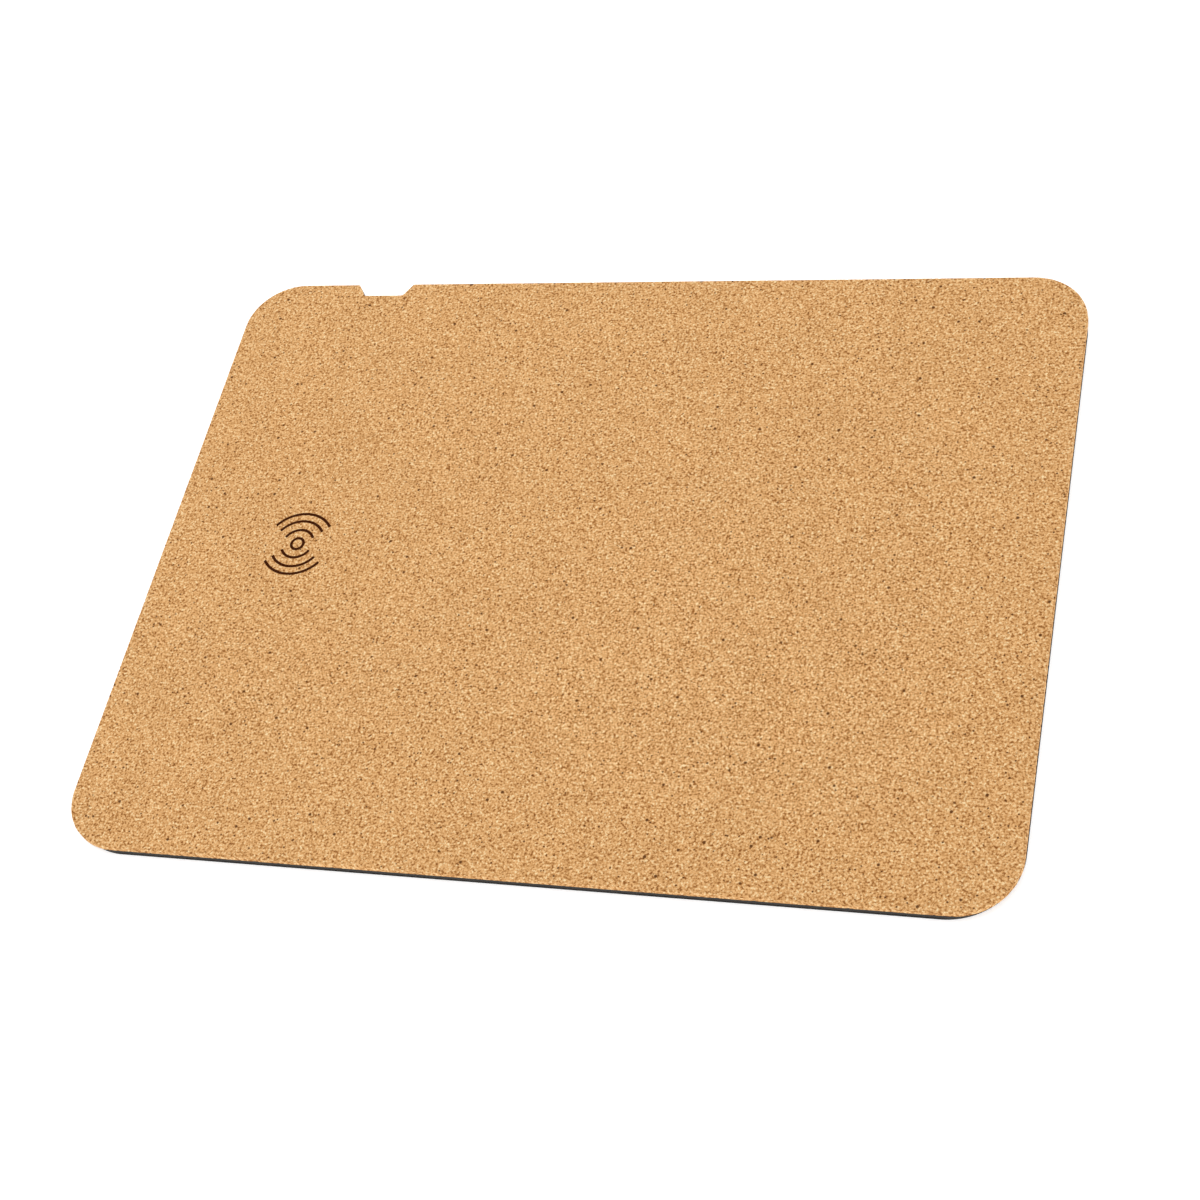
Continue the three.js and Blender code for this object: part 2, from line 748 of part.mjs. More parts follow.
// One straight part of a leg on the left or right of the shell.
function legBox(side, inner, outer, place, low, high) {
  const [left, right] = side < 0 ? [-outer, -inner] : [inner, outer];
  const half = legLength / 2;
  return boxBetween([left, place - half, low], [right, place + half, high]);
}

// The middle line of a contact in the upper (1) or lower (-1) row, in Y and Z about the mouth.
function contactMiddle(row) {
  const rowZ = row * (tongueThickness / 2 + contactProud - contactThickness / 2);
  const tailZ = boardTop - socketZ + contactThickness / 2;
  const tipY = -tongueFromMouth - contactFromTip;
  const dropY = -shellDepth - looseClearance;
  return [
    new THREE.Vector2(tipY, rowZ),
    new THREE.Vector2(dropY, rowZ),
    new THREE.Vector2(dropY, tailZ),
    new THREE.Vector2(dropY - contactTail, tailZ),
  ];
}

// A contact, grown all round by a clearance where it is used to cut its seat.
function contactStrip({ pitches, row }, clearance = 0) {
  const shape = stripShape(contactMiddle(row), contactThickness + 2 * clearance);
  const strip = extrudedAcross(shape, contactWidth + 2 * clearance);
  return strip.translate(pitches * contactPitch, 0, 0);
}

// The tongue, its thicker root and the insulator behind it, slotted for the contacts.
function socketTongue() {
  const half = tongueWidth / 2;
  const tip = -tongueFromMouth;
  const insulatorFront = insulatorDepth - shellDepth;
  const plan = new THREE.Shape([
    new THREE.Vector2(-half, insulatorFront - insulatorDepth / 2),
    new THREE.Vector2(half, insulatorFront - insulatorDepth / 2),
    new THREE.Vector2(half, tip - tongueChamfer),
    new THREE.Vector2(half - tongueChamfer, tip),
    new THREE.Vector2(-half + tongueChamfer, tip),
    new THREE.Vector2(-half, tip - tongueChamfer),
  ]);
  const tongue = slab(plan, tongueThickness).translate(0, 0, -tongueThickness / 2);
  const root = boxBetween(
    [-half, insulatorFront - insulatorDepth / 2, -tongueRootThickness / 2],
    [half, insulatorFront + tongueRootLength, tongueRootThickness / 2],
  );
  const inside = 2 * (shellWall + seatClearance);
  const insulator = extrudedInwards(
    stadium(shellWidth - inside, shellHeight - inside),
    insulatorDepth,
  ).translate(0, insulatorFront, 0);
  const seats = contacts.map((contact) => contactStrip(contact, contactClearance));
  return cut(joined(insulator, tongue, root), ...seats);
}

// A named piece at a place in its group.
function piece(name, geometry, look, x = 0, y = 0, z = 0) {
  const mesh = new THREE.Mesh(geometry, looks[look].clone());
  mesh.name = name;
  mesh.position.set(x, y, z);
  return mesh;
}

// The five laminated sheets.
function laminate() {
  const group = new THREE.Group();
  group.add(
    piece("base_sheet", wholeSheet(baseThickness), "base"),
    piece("base_film", wholeSheet(filmThickness), "film", 0, 0, baseTop),
    piece("core_sheet", coreSheet(), "core", 0, 0, floorZ),
    piece("cork_film", corkFilm(), "film", 0, 0, coreTop),
    piece("cork_sheet", corkSheet(), "cork", 0, 0, corkBottom),
  );
  return group;
}

// The winding and what goes with it, about the charging spot.
function coilAssembly() {
  const slotStart = -innerTurnRadius / 2 - leadSlotWidth / 2;
  const group = new THREE.Group();
  group.position.set(coilX, coilY, 0);
  const shield = slottedDisc(windingRadius + shieldRim, shieldThickness, slotStart);
  const carrier = slottedDisc(windingRadius + carrierRim, carrierThickness, slotStart);
  group.add(
    piece("shield_sheet", shield, "ferrite", 0, 0, floorZ),
    piece("coil_carrier", carrier, "carrier", 0, 0, carrierBottom),
    piece("charging_coil", chargingCoil(), "copper"),
    piece("coil_pad", coilPad(), "foam", 0, 0, coilPadBottom),
  );
  const runStart = windingRadius + leadBend + leadRise;
  const runLength = boardFront - coilY - leadRise - runStart;
  const tape = leadTape(tapeLengthShare * runLength);
  tapePlaceShares.forEach((share, i) => {
    const y = runStart + share * runLength;
    const z = leadZ + wireRadius + seatClearance;
    group.add(piece(`lead_tape_${i + 1}`, tape, "tape", leadSpacing / 2, y, z));
  });
  return group;
}

// The circuit board with what is under and on it, about the board's middle.
function boardAssembly() {
  const middleY = (boardFront + boardRear) / 2;
  const group = new THREE.Group();
  group.position.set(notchX, middleY, 0);
  group.add(
    piece("board_pad", boardPad(), "foam", 0, 0, floorZ),
    piece("circuit_board", circuitBoard(), "board", 0, 0, boardBottom),
  );
  boardParts.forEach(({ name, size, look, placeShares }) => {
    const [shareX, shareY] = placeShares;
    const moulded = look === "package" || look === "choke";
    const geometry = moulded ? mouldedPackage(size) : cappedComponent(size);
    const y = (shareY - 1 / 2) * boardDepth;
    group.add(piece(name, geometry, look, shareX * boardWidth, y, boardTop));
  });
  const leadEndY = boardFront + leadOnBoard - middleY + seatClearance;
  [0, leadSpacing].forEach((offset, i) => {
    const x = coilX + offset - notchX;
    group.add(piece(`solder_joint_${i + 1}`, solderJoint(), "solder", x, leadEndY, boardTop));
  });
  return group;
}

// The charging socket, about the middle of its mouth.
function socketAssembly() {
  const group = new THREE.Group();
  group.position.set(notchX, socketY, socketZ);
  group.add(
    piece("socket_shell", socketShell(), "shell"),
    piece("socket_tongue", socketTongue(), "tongue"),
  );
  contacts.forEach((contact) => group.add(piece(contact.name, contactStrip(contact), "contact")));
  return group;
}

const mousePad = new THREE.Group();
mousePad.name = "mouse_pad";
mousePad.add(laminate(), coilAssembly(), boardAssembly(), socketAssembly());

export default mousePad;
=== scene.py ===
"""A cork-topped mouse pad with a wireless charger inside it.

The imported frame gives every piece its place. This script gives the pieces their finished surfaces: the
granular cork with its cut edge, the charging mark, the dark core, the rubber underside with its tread, and
the charger with its socket. Sizes in the classes are in millimetres, and meshes are in metres.
"""

import json
import logging
import math
from abc import ABC, abstractmethod
from dataclasses import dataclass
from enum import Enum
from functools import cache

import bmesh
import bpy
from mathutils import Matrix, Quaternion, Vector
from mathutils.geometry import delaunay_2d_cdt, interpolate_bezier


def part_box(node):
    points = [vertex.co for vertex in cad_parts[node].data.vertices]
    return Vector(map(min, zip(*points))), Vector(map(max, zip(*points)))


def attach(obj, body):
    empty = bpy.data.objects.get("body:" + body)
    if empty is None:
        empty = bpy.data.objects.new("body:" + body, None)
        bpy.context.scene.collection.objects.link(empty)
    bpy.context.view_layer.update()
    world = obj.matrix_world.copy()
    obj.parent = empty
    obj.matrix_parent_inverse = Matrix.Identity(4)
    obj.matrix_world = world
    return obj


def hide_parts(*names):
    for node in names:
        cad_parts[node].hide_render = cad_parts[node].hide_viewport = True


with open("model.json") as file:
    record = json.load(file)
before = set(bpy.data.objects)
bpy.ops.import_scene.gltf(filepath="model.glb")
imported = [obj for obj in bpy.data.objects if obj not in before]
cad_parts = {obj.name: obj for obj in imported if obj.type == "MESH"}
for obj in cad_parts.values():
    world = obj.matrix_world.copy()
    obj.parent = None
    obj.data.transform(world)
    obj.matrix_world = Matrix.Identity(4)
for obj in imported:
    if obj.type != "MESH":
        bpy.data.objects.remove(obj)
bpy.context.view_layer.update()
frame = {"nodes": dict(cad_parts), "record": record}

LOG = logging.getLogger("mouse_pad")
MM = 0.001
BODY = "root"

# How near points are merged, how near a point is to a face that it lies on, and how near a loop's points are
MERGE_REACH = MM / 1000
FACE_REACH = MM / 100
FILL_REACH = MM * 1e-4

# Below this angle between faces, in degrees, an edge is dissolved, and above the other it is sharp
FLAT_ANGLE = 1.0
SHARP_ANGLE = 35.0

# The distance between staggered rows, as a share of the distance in a row
ROW_SHARE = math.sqrt(3) / 2

# Where nearly all of a noise's values lie, and their middle
NOISE_SPAN = (0.3, 0.7)
NOISE_MIDDLE = (0.5, 0.5, 0.5)

# How many rows of faces an eased corner has
BEVEL_ROWS = 2

Socket = bpy.types.NodeSocket
Input = Socket | float | int | str | bool | tuple[float, ...] | bpy.types.Material
Colour = tuple[float, float, float, float]
WHITE: Colour = (1.0, 1.0, 1.0, 1.0)


@cache
def box_of(node: str) -> tuple[Vector, Vector]:
    """Gives a node's lowest and highest corners, in metres, and measures them only once."""
    return tuple(corner.freeze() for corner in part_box(node))


def mouth_of(node: str) -> tuple[Vector, Vector]:
    """Finds a node's rearmost face.

    Args:
        node: The frame's node.

    Returns:
        The face's lowest and highest corners, in metres.
    """
    rear = box_of(node)[1].y - FACE_REACH
    found = [vertex.co for vertex in frame["nodes"][node].data.vertices if vertex.co.y > rear]
    low = Vector(min(place[axis] for place in found) for axis in range(3))
    high = Vector(max(place[axis] for place in found) for axis in range(3))
    return low, high


def coil_centre() -> Vector:
    """Finds the middle of the coil, seen from above.

    Returns:
        Its flat place, in metres.
    """
    low, high = box_of("coil_carrier")
    radius = (high.x - low.x) / 2
    return Vector((low.x + radius, low.y + radius))


class Slot(Enum):
    """The record's material slots."""

    CORK = "cork"
    CORE = "core_board"
    BASE = "base_rubber"
    FILM = "adhesive_film"
    FERRITE = "ferrite"
    PLASTIC = "black_plastic"
    COPPER = "copper_wire"
    FOAM = "foam"
    TAPE = "amber_tape"
    BOARD = "circuit_board"
    CHOKE = "choke_grey"
    CERAMIC = "capacitor_ceramic"
    SOLDER = "solder"
    STEEL = "socket_steel"
    GOLD = "contact_gold"

    def colour(self, share: float = 1.0, depth: float = 1.0) -> Colour:
        """Gives the record's colour for this slot.

        Args:
            share: How bright it is made, as a share of the record's colour.
            depth: Over 1 makes it deeper and more saturated, and under 1 paler.

        Returns:
            Red, green, blue and alpha, linear.
        """
        rows = frame["record"]["materials"]
        base = next(row["base_color"] for row in rows if row["slot"] == self.value)
        return (*(min(channel**depth * share, 1.0) for channel in base), 1.0)


def nodes_in(slot: Slot) -> list[str]:
    """Gives the nodes that the record puts in a slot."""
    return [row["node"] for row in frame["record"]["subparts"] if row["material_slot"] == slot.value]


class Grain(Enum):
    """What a plain finish's variation looks like."""

    CLOUDS = "clouds"
    CELLS = "cells"
    BRUSHED = "brushed"

    @property
    def detail(self) -> float:
        """How many finer layers its noise has."""
        return 5.0 if self is Grain.BRUSHED else 3.0


class Graph:
    """A node tree, with short ways to add its nodes."""

    def __init__(self, tree: bpy.types.NodeTree) -> None:
        """Keeps the tree that the nodes are added to."""
        self.tree = tree

    def add(
        self, kind: str, inputs: dict[str | int, Input] | None = None, **settings: object
    ) -> bpy.types.Node:
        """Adds a node.

        Args:
            kind: Blender's name for the kind of node.
            inputs: What goes into its sockets, by their names or numbers: values, or sockets to link.
            settings: The node's own settings.

        Returns:
            The new node.
        """
        node = self.tree.nodes.new(kind)
        for name, value in settings.items():
            setattr(node, name, value)
        for key, value in (inputs or {}).items():
            self.feed(node, key, value)
        return node

    def feed(self, node: bpy.types.Node, key: str | int, value: Input) -> None:
        """Sets or links one socket of a node.

        Args:
            node: The node.
            key: The socket's name or number.
            value: A value, or a socket to link.
        """
        if isinstance(value, Socket):
            self.tree.links.new(value, node.inputs[key])
        else:
            node.inputs[key].default_value = value

    def math(self, operation: str, *values: Input) -> Socket:
        """Adds a Math node and gives its result."""
        return self.add("ShaderNodeMath", dict(enumerate(values)), operation=operation).outputs[0]

    def vector(self, operation: str, *values: Input) -> Socket:
        """Adds a Vector Math node and gives its vector."""
        node = self.add("ShaderNodeVectorMath", dict(enumerate(values)), operation=operation)
        return node.outputs["Vector"]

    def scaled(self, vector: Socket, factor: Input) -> Socket:
        """Gives a vector times a number."""
        inputs = {0: vector, "Scale": factor}
        return self.add("ShaderNodeVectorMath", inputs, operation="SCALE").outputs["Vector"]

    def length(self, vector: Socket) -> Socket:
        """Gives a vector's length."""
        return self.add("ShaderNodeVectorMath", {0: vector}, operation="LENGTH").outputs["Value"]

    def fitted(self, value: Input, old: tuple[float, float], new: tuple[float, float]) -> Socket:
        """Gives a number moved smoothly from one range to another, and held inside it."""
        inputs = {"Value": value, "From Min": old[0], "From Max": old[1], "To Min": new[0], "To Max": new[1]}
        return self.add("ShaderNodeMapRange", inputs, interpolation_type="SMOOTHSTEP").outputs["Result"]

    def mixed(self, factor: Input, first: Input, second: Input) -> Socket:
        """Gives two colours mixed."""
        return self.add("ShaderNodeMix", {0: factor, 6: first, 7: second}, data_type="RGBA").outputs[2]

    def ramp(self, factor: Socket, stops: list[tuple[float, Colour]]) -> Socket:
        """Gives the colour of a ramp.

        Args:
            factor: Where on the ramp, from 0 to 1.
            stops: Places and colours, in order.

        Returns:
            The colour.
        """
        node = self.add("ShaderNodeValToRGB", {"Fac": factor})
        elements = node.color_ramp.elements
        while len(elements) < len(stops):
            elements.new(1.0)
        for element, (place, colour) in zip(elements, stops):
            element.position = place
            element.color = colour
        return node.outputs["Color"]

    def noise(self, place: Socket, size: float, detail: float = 2.0) -> bpy.types.Node:
        """Adds a noise whose lumps are about one size wide."""
        return self.add("ShaderNodeTexNoise", {"Vector": place, "Scale": 1 / size, "Detail": detail})

    def cells(self, place: Socket, size: float, feature: str = "F1") -> bpy.types.Node:
        """Adds cells that are about one size wide."""
        return self.add("ShaderNodeTexVoronoi", {"Vector": place, "Scale": 1 / size}, feature=feature)

    def channel(self, colour: Socket, axis: str) -> Socket:
        """Gives one channel of a colour or vector, as X, Y or Z."""
        return self.add("ShaderNodeSeparateXYZ", {0: colour}).outputs[axis]

    def place_in_mm(self) -> Socket:
        """Gives the place on the piece in millimetres."""
        return self.scaled(self.add("ShaderNodeTexCoord").outputs["Object"], 1 / MM)


def linked(name: str, data: bpy.types.ID) -> bpy.types.Object:
    """Adds an object to the scene.

    Args:
        name: What it is called.
        data: Its mesh, light or camera.

    Returns:
        The object.
    """
    made = bpy.data.objects.new(name, data)
    bpy.context.scene.collection.objects.link(made)
    return made


class GeometryTree(Graph):
    """A Geometry Nodes tree with named sizes."""

    def __init__(self, name: str) -> None:
        """Makes an empty tree that takes a geometry and gives one.

        Args:
            name: What the tree is called.
        """
        super().__init__(bpy.data.node_groups.new(name, "GeometryNodeTree"))
        for way in ("INPUT", "OUTPUT"):
            self.tree.interface.new_socket("Geometry", in_out=way, socket_type="NodeSocketGeometry")
        self.inlet = self.add("NodeGroupInput")
        self.values: dict[str, float | int] = {}

    def size(self, name: str, value: float | int) -> Socket:
        """Adds a named input.

        Args:
            name: What the input is called.
            value: A length in metres, an angle in radians, a count or a seed.

        Returns:
            The socket that gives the value inside the tree.
        """
        kind = "NodeSocketInt" if isinstance(value, int) else "NodeSocketFloat"
        item = self.tree.interface.new_socket(name, in_out="INPUT", socket_type=kind)
        self.values[item.identifier] = value
        return self.inlet.outputs[name]

    def joined(self, *parts: Socket) -> Socket:
        """Gives several geometries as one.

        Args:
            parts: The geometries.

        Returns:
            All of them, joined.
        """
        node = self.add("GeometryNodeJoinGeometry")
        for part in parts:
            self.tree.links.new(part, node.inputs[0])
        return node.outputs[0]

    def position(self) -> Socket:
        """Gives each point's place."""
        return self.add("GeometryNodeInputPosition").outputs[0]

    def displaced(self, geometry: Socket, offset: Socket) -> Socket:
        """Gives a geometry with each of its points moved by its own offset."""
        return self.add("GeometryNodeSetPosition", {"Geometry": geometry, "Offset": offset}).outputs[0]

    def shifted(self, geometry: Socket, offset: tuple[float, float, float]) -> Socket:
        """Gives a geometry moved as a whole."""
        return self.add("GeometryNodeTransform", {"Geometry": geometry, "Translation": offset}).outputs[0]

    def grown(self, start: bpy.types.Mesh, geometry: Socket, finish: "Finish") -> bpy.types.Mesh:
        """Ends the tree, runs it and gives the result as a plain mesh.

        Args:
            start: The mesh that goes into the tree.
            geometry: What the tree makes.
            finish: The finish of all of it.

        Returns:
            The finished mesh.
        """
        real = self.add("GeometryNodeRealizeInstances", {0: geometry}).outputs[0]
        inputs = {"Geometry": real, "Material": finish.material()}
        dressed = self.add("GeometryNodeSetMaterial", inputs).outputs[0]
        self.add("NodeGroupOutput", {0: dressed})
        source = linked("source", start)
        modifier = source.modifiers.new("grow", "NODES")
        modifier.node_group = self.tree
        for identifier, value in self.values.items():
            modifier[identifier] = value
        return applied(source)


def applied(source: bpy.types.Object) -> bpy.types.Mesh:
    """Gives an object's mesh with its modifiers applied, and removes the object.

    Args:
        source: The object.

    Returns:
        Its finished mesh, as a new one.
    """
    evaluated = source.evaluated_get(bpy.context.evaluated_depsgraph_get())
    mesh = bpy.data.meshes.new_from_object(evaluated)
    bpy.data.objects.remove(source)
    return mesh


def mesh_of(points: list[Vector], faces: list[tuple[int, ...]]) -> bpy.types.Mesh:
    """Makes a mesh from points and faces.

    Args:
        points: The places of its points, in metres.
        faces: The numbers of each face's points, anticlockwise seen from outside.

    Returns:
        The new mesh.
    """
    mesh = bpy.data.meshes.new("mesh")
    mesh.from_pydata(points, [], faces)
    return mesh


def triangles_inside(places: list[Vector], loop: list[tuple[int, int]]) -> list[tuple[int, ...]]:
    """Fills a closed loop with triangles through all the places in it.

    Args:
        places: Flat places. The loop's come first.
        loop: Pairs of places that the loop's edges join.

    Returns:
        Anticlockwise triangles, as numbers of places.
    """
    inside_only = 1
    _, _, faces, groups, *_ = delaunay_2d_cdt(places, loop, [], inside_only, FILL_REACH)
    return [tuple(groups[i][0] for i in face) for face in faces]


def box_mesh(low: Vector, high: Vector) -> bpy.types.Mesh:
    """Makes a box.

    Args:
        low: Its lowest corner, in metres.
        high: Its highest corner, in metres.

    Returns:
        The new mesh.
    """
    edit = bmesh.new()
    bmesh.ops.create_cube(edit, size=1.0)
    for vertex in edit.verts:
        vertex.co = (low + high) / 2 + vertex.co * (high - low)
    mesh = bpy.data.meshes.new("box")
    edit.to_mesh(mesh)
    edit.free()
    return mesh


def with_boxes_cut(mesh: bpy.types.Mesh, boxes: list[tuple[Vector, Vector]]) -> bpy.types.Mesh:
    """Cuts boxes out of a closed mesh.

    Args:
        mesh: The mesh to cut.
        boxes: Each box's lowest and highest corners, in metres.

    Returns:
        What is left, as a new mesh.
    """
    source = linked("source", mesh)
    tools = []
    for low, high in boxes:
        tool = linked("tool", box_mesh(low, high))
        tools.append(tool)
        modifier = source.modifiers.new("cut", "BOOLEAN")
        modifier.solver = "MANIFOLD"
        modifier.object = tool
    left = applied(source)
    for tool in tools:
        bpy.data.objects.remove(tool)
    return left


def outwards(mesh: bpy.types.Mesh) -> bpy.types.Mesh:
    """Turns a closed mesh's faces outwards, after merging its doubles.

    Args:
        mesh: The mesh.

    Returns:
        The same mesh.
    """
    edit = bmesh.new()
    edit.from_mesh(mesh)
    bmesh.ops.remove_doubles(edit, verts=edit.verts, dist=MERGE_REACH)
    bmesh.ops.recalc_face_normals(edit, faces=edit.faces)
    edit.to_mesh(mesh)
    edit.free()
    return mesh


def smoothed(mesh: bpy.types.Mesh, angle: float = SHARP_ANGLE) -> bpy.types.Mesh:
    """Shades a mesh smooth, but for its sharp edges.

    Args:
        mesh: The mesh.
        angle: Edges whose faces meet at more than this, in degrees, stay sharp.

    Returns:
        The same mesh.
    """
    mesh.polygons.foreach_set("use_smooth", [True] * len(mesh.polygons))
    mesh.set_sharp_from_angle(angle=math.radians(angle))
    return mesh


def set_out(name: str, mesh: bpy.types.Mesh, finish: "Finish", *nodes: str) -> bpy.types.Object:
    """Adds a finished piece to the scene.

    Args:
        name: The piece's name.
        mesh: Its mesh, in place.
        finish: Its finish.
        nodes: The frame's nodes that it stands for.

    Returns:
        The piece.
    """
    mesh.materials.clear()
    mesh.materials.append(finish.material())
    piece = linked(name, mesh)
    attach(piece, BODY)
    if nodes:
        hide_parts(*nodes)
    LOG.info("%s: %d faces", name, len(mesh.polygons))
    return piece


def eased_copy(node: str, bevel: float, outline: "PadOutline | None" = None) -> bpy.types.Mesh:
    """Copies a node's mesh with its corners eased, as a moulded, drawn or die-cut piece has them.

    Args:
        node: The frame's node.
        bevel: How wide the eased corners are, in millimetres. With none they are only shaded smooth.
        outline: The outline that the piece is drawn in to, if it isn't its node's.

    Returns:
        The new mesh.
    """
    edit = bmesh.new()
    edit.from_mesh(frame["nodes"][node].data)
    bmesh.ops.remove_doubles(edit, verts=edit.verts, dist=MERGE_REACH)
    flat = math.radians(FLAT_ANGLE)
    bmesh.ops.dissolve_limit(edit, angle_limit=flat, verts=edit.verts, edges=edit.edges)
    if outline:
        for vertex in edit.verts:
            vertex.co.xy = outline.drawn_in(vertex.co.xy)
    copy = bpy.data.meshes.new(node)
    edit.to_mesh(copy)
    edit.free()
    if not bevel:
        return smoothed(copy)
    source = linked("source", copy)
    modifier = source.modifiers.new("ease", "BEVEL")
    modifier.width = bevel * MM
    modifier.segments = BEVEL_ROWS
    modifier.limit_method = "ANGLE"
    modifier.angle_limit = math.radians(SHARP_ANGLE)
    modifier.use_clamp_overlap = True
    return smoothed(applied(source))


class Finish(ABC):
    """A surface finish, made as a material."""

    name: str
    slot: Slot

    @cache
    def material(self) -> bpy.types.Material:
        """Makes the material once, and gives the same one whenever it is asked for again.

        Returns:
            The material.
        """
        made = bpy.data.materials.new(self.name)
        made.use_nodes = True
        self.paint(Graph(made.node_tree), made.node_tree.nodes["Principled BSDF"])
        return made

    @abstractmethod
    def paint(self, graph: Graph, shader: bpy.types.Node) -> None:
        """Adds the finish's own nodes and links them to the shader.

        Args:
            graph: The material's tree.
            shader: Its shader.
        """


@dataclass(frozen=True)
class PlainFinish(Finish):
    """A finish of one substance, whose colour, gloss and relief vary a little. Sizes are millimetres."""

    name: str
    slot: Slot
    grain: Grain = Grain.CLOUDS
    grain_size: float = 0.6
    contrast: float = 0.12
    roughness: tuple[float, float] = (0.5, 0.6)
    relief: float = 0.01
    gloss: float = 0.5
    metallic: float = 0.0
    coat: float = 0.0
    transmission: float = 0.0
    sheen: float = 0.0
    stretch: tuple[float, float, float] = (1.0, 1.0, 1.0)
    broad_share: float = 8.0

    def pattern(self, graph: Graph, place: Socket) -> tuple[Socket, Socket]:
        """Makes the grain.

        Args:
            graph: The material's tree.
            place: The place in millimetres.

        Returns:
            Its shade and its height, from 0 to about 1.
        """
        if self.grain is Grain.CELLS:
            cells = graph.cells(place, self.grain_size)
            return graph.channel(cells.outputs["Color"], "X"), cells.outputs["Distance"]
        lumps = graph.noise(place, self.grain_size, self.grain.detail).outputs["Fac"]
        return lumps, lumps

    def paint(self, graph: Graph, shader: bpy.types.Node) -> None:
        """Varies the slot's colour with the grain, and its roughness with broader clouds.

        Args:
            graph: The material's tree.
            shader: Its shader.
        """
        place = graph.vector("MULTIPLY", graph.place_in_mm(), self.stretch)
        varied, height = self.pattern(graph, place)
        dark = self.slot.colour(1 - self.contrast)
        light = self.slot.colour(1 + self.contrast)
        colour = graph.mixed(graph.fitted(varied, NOISE_SPAN, (0.0, 1.0)), dark, light)
        graph.feed(shader, "Base Color", colour)
        broad = graph.noise(place, self.grain_size * self.broad_share).outputs["Fac"]
        graph.feed(shader, "Roughness", graph.fitted(broad, NOISE_SPAN, self.roughness))
        bump = graph.add("ShaderNodeBump", {"Height": height, "Strength": 1.0, "Distance": self.relief * MM})
        graph.feed(shader, "Normal", bump.outputs["Normal"])
        graph.feed(shader, "Specular IOR Level", self.gloss)
        graph.feed(shader, "Metallic", self.metallic)
        graph.feed(shader, "Coat Weight", self.coat)
        graph.feed(shader, "Transmission Weight", self.transmission)
        graph.feed(shader, "Sheen Weight", self.sheen)


@dataclass(frozen=True)
class BoardFinish(PlainFinish):
    """A circuit board's green mask, with the plated holes that join its two sides."""

    via_spacing: float = 2.6
    via_scatter: float = 0.55
    via_radius: float = 0.3
    via_lift: float = 0.25
    hole_radius: float = 0.13
    hole_depth_and_painted_shade: float = 0.6
    softness: float = 0.04
    mask_shades: tuple[float, float] = (0.4, 0.5)

    def pattern(self, graph: Graph, place: Socket) -> tuple[Socket, Socket]:
        """Makes the mask: even, raised in a ring round each via, and sunk in its bore, which is darkened
        with painted shade.

        Args:
            graph: The material's tree.
            place: The place in millimetres.

        Returns:
            Its shade and its height, from 0 to about 1.
        """
        inputs = {"Vector": place, "Scale": 1 / self.via_spacing, "Randomness": self.via_scatter}
        nearest = graph.add("ShaderNodeTexVoronoi", inputs, voronoi_dimensions="2D").outputs["Distance"]
        away = graph.math("MULTIPLY", nearest, self.via_spacing)
        ring_edge = (self.via_radius, self.via_radius + self.softness)
        hole_edge = (self.hole_radius, self.hole_radius + self.softness)
        ring = graph.fitted(away, ring_edge, (self.via_lift, 0.0))
        sunk_hole_with_painted_shade = graph.fitted(away, hole_edge, (self.hole_depth_and_painted_shade, 0.0))
        lumps, _ = super().pattern(graph, place)
        mask = graph.fitted(lumps, NOISE_SPAN, self.mask_shades)
        # The bore lowers the mask and darkens its colour: painted shade inside each via
        shade = graph.math("SUBTRACT", graph.math("ADD", ring, mask), sunk_hole_with_painted_shade)
        return shade, shade


@dataclass(frozen=True)
class Tone:
    """One of the granules' shades. Its place is the share of them that are darker, and the rest says how it
    differs from the record's colour, as Slot.colour takes it."""

    place: float
    share: float
    depth: float


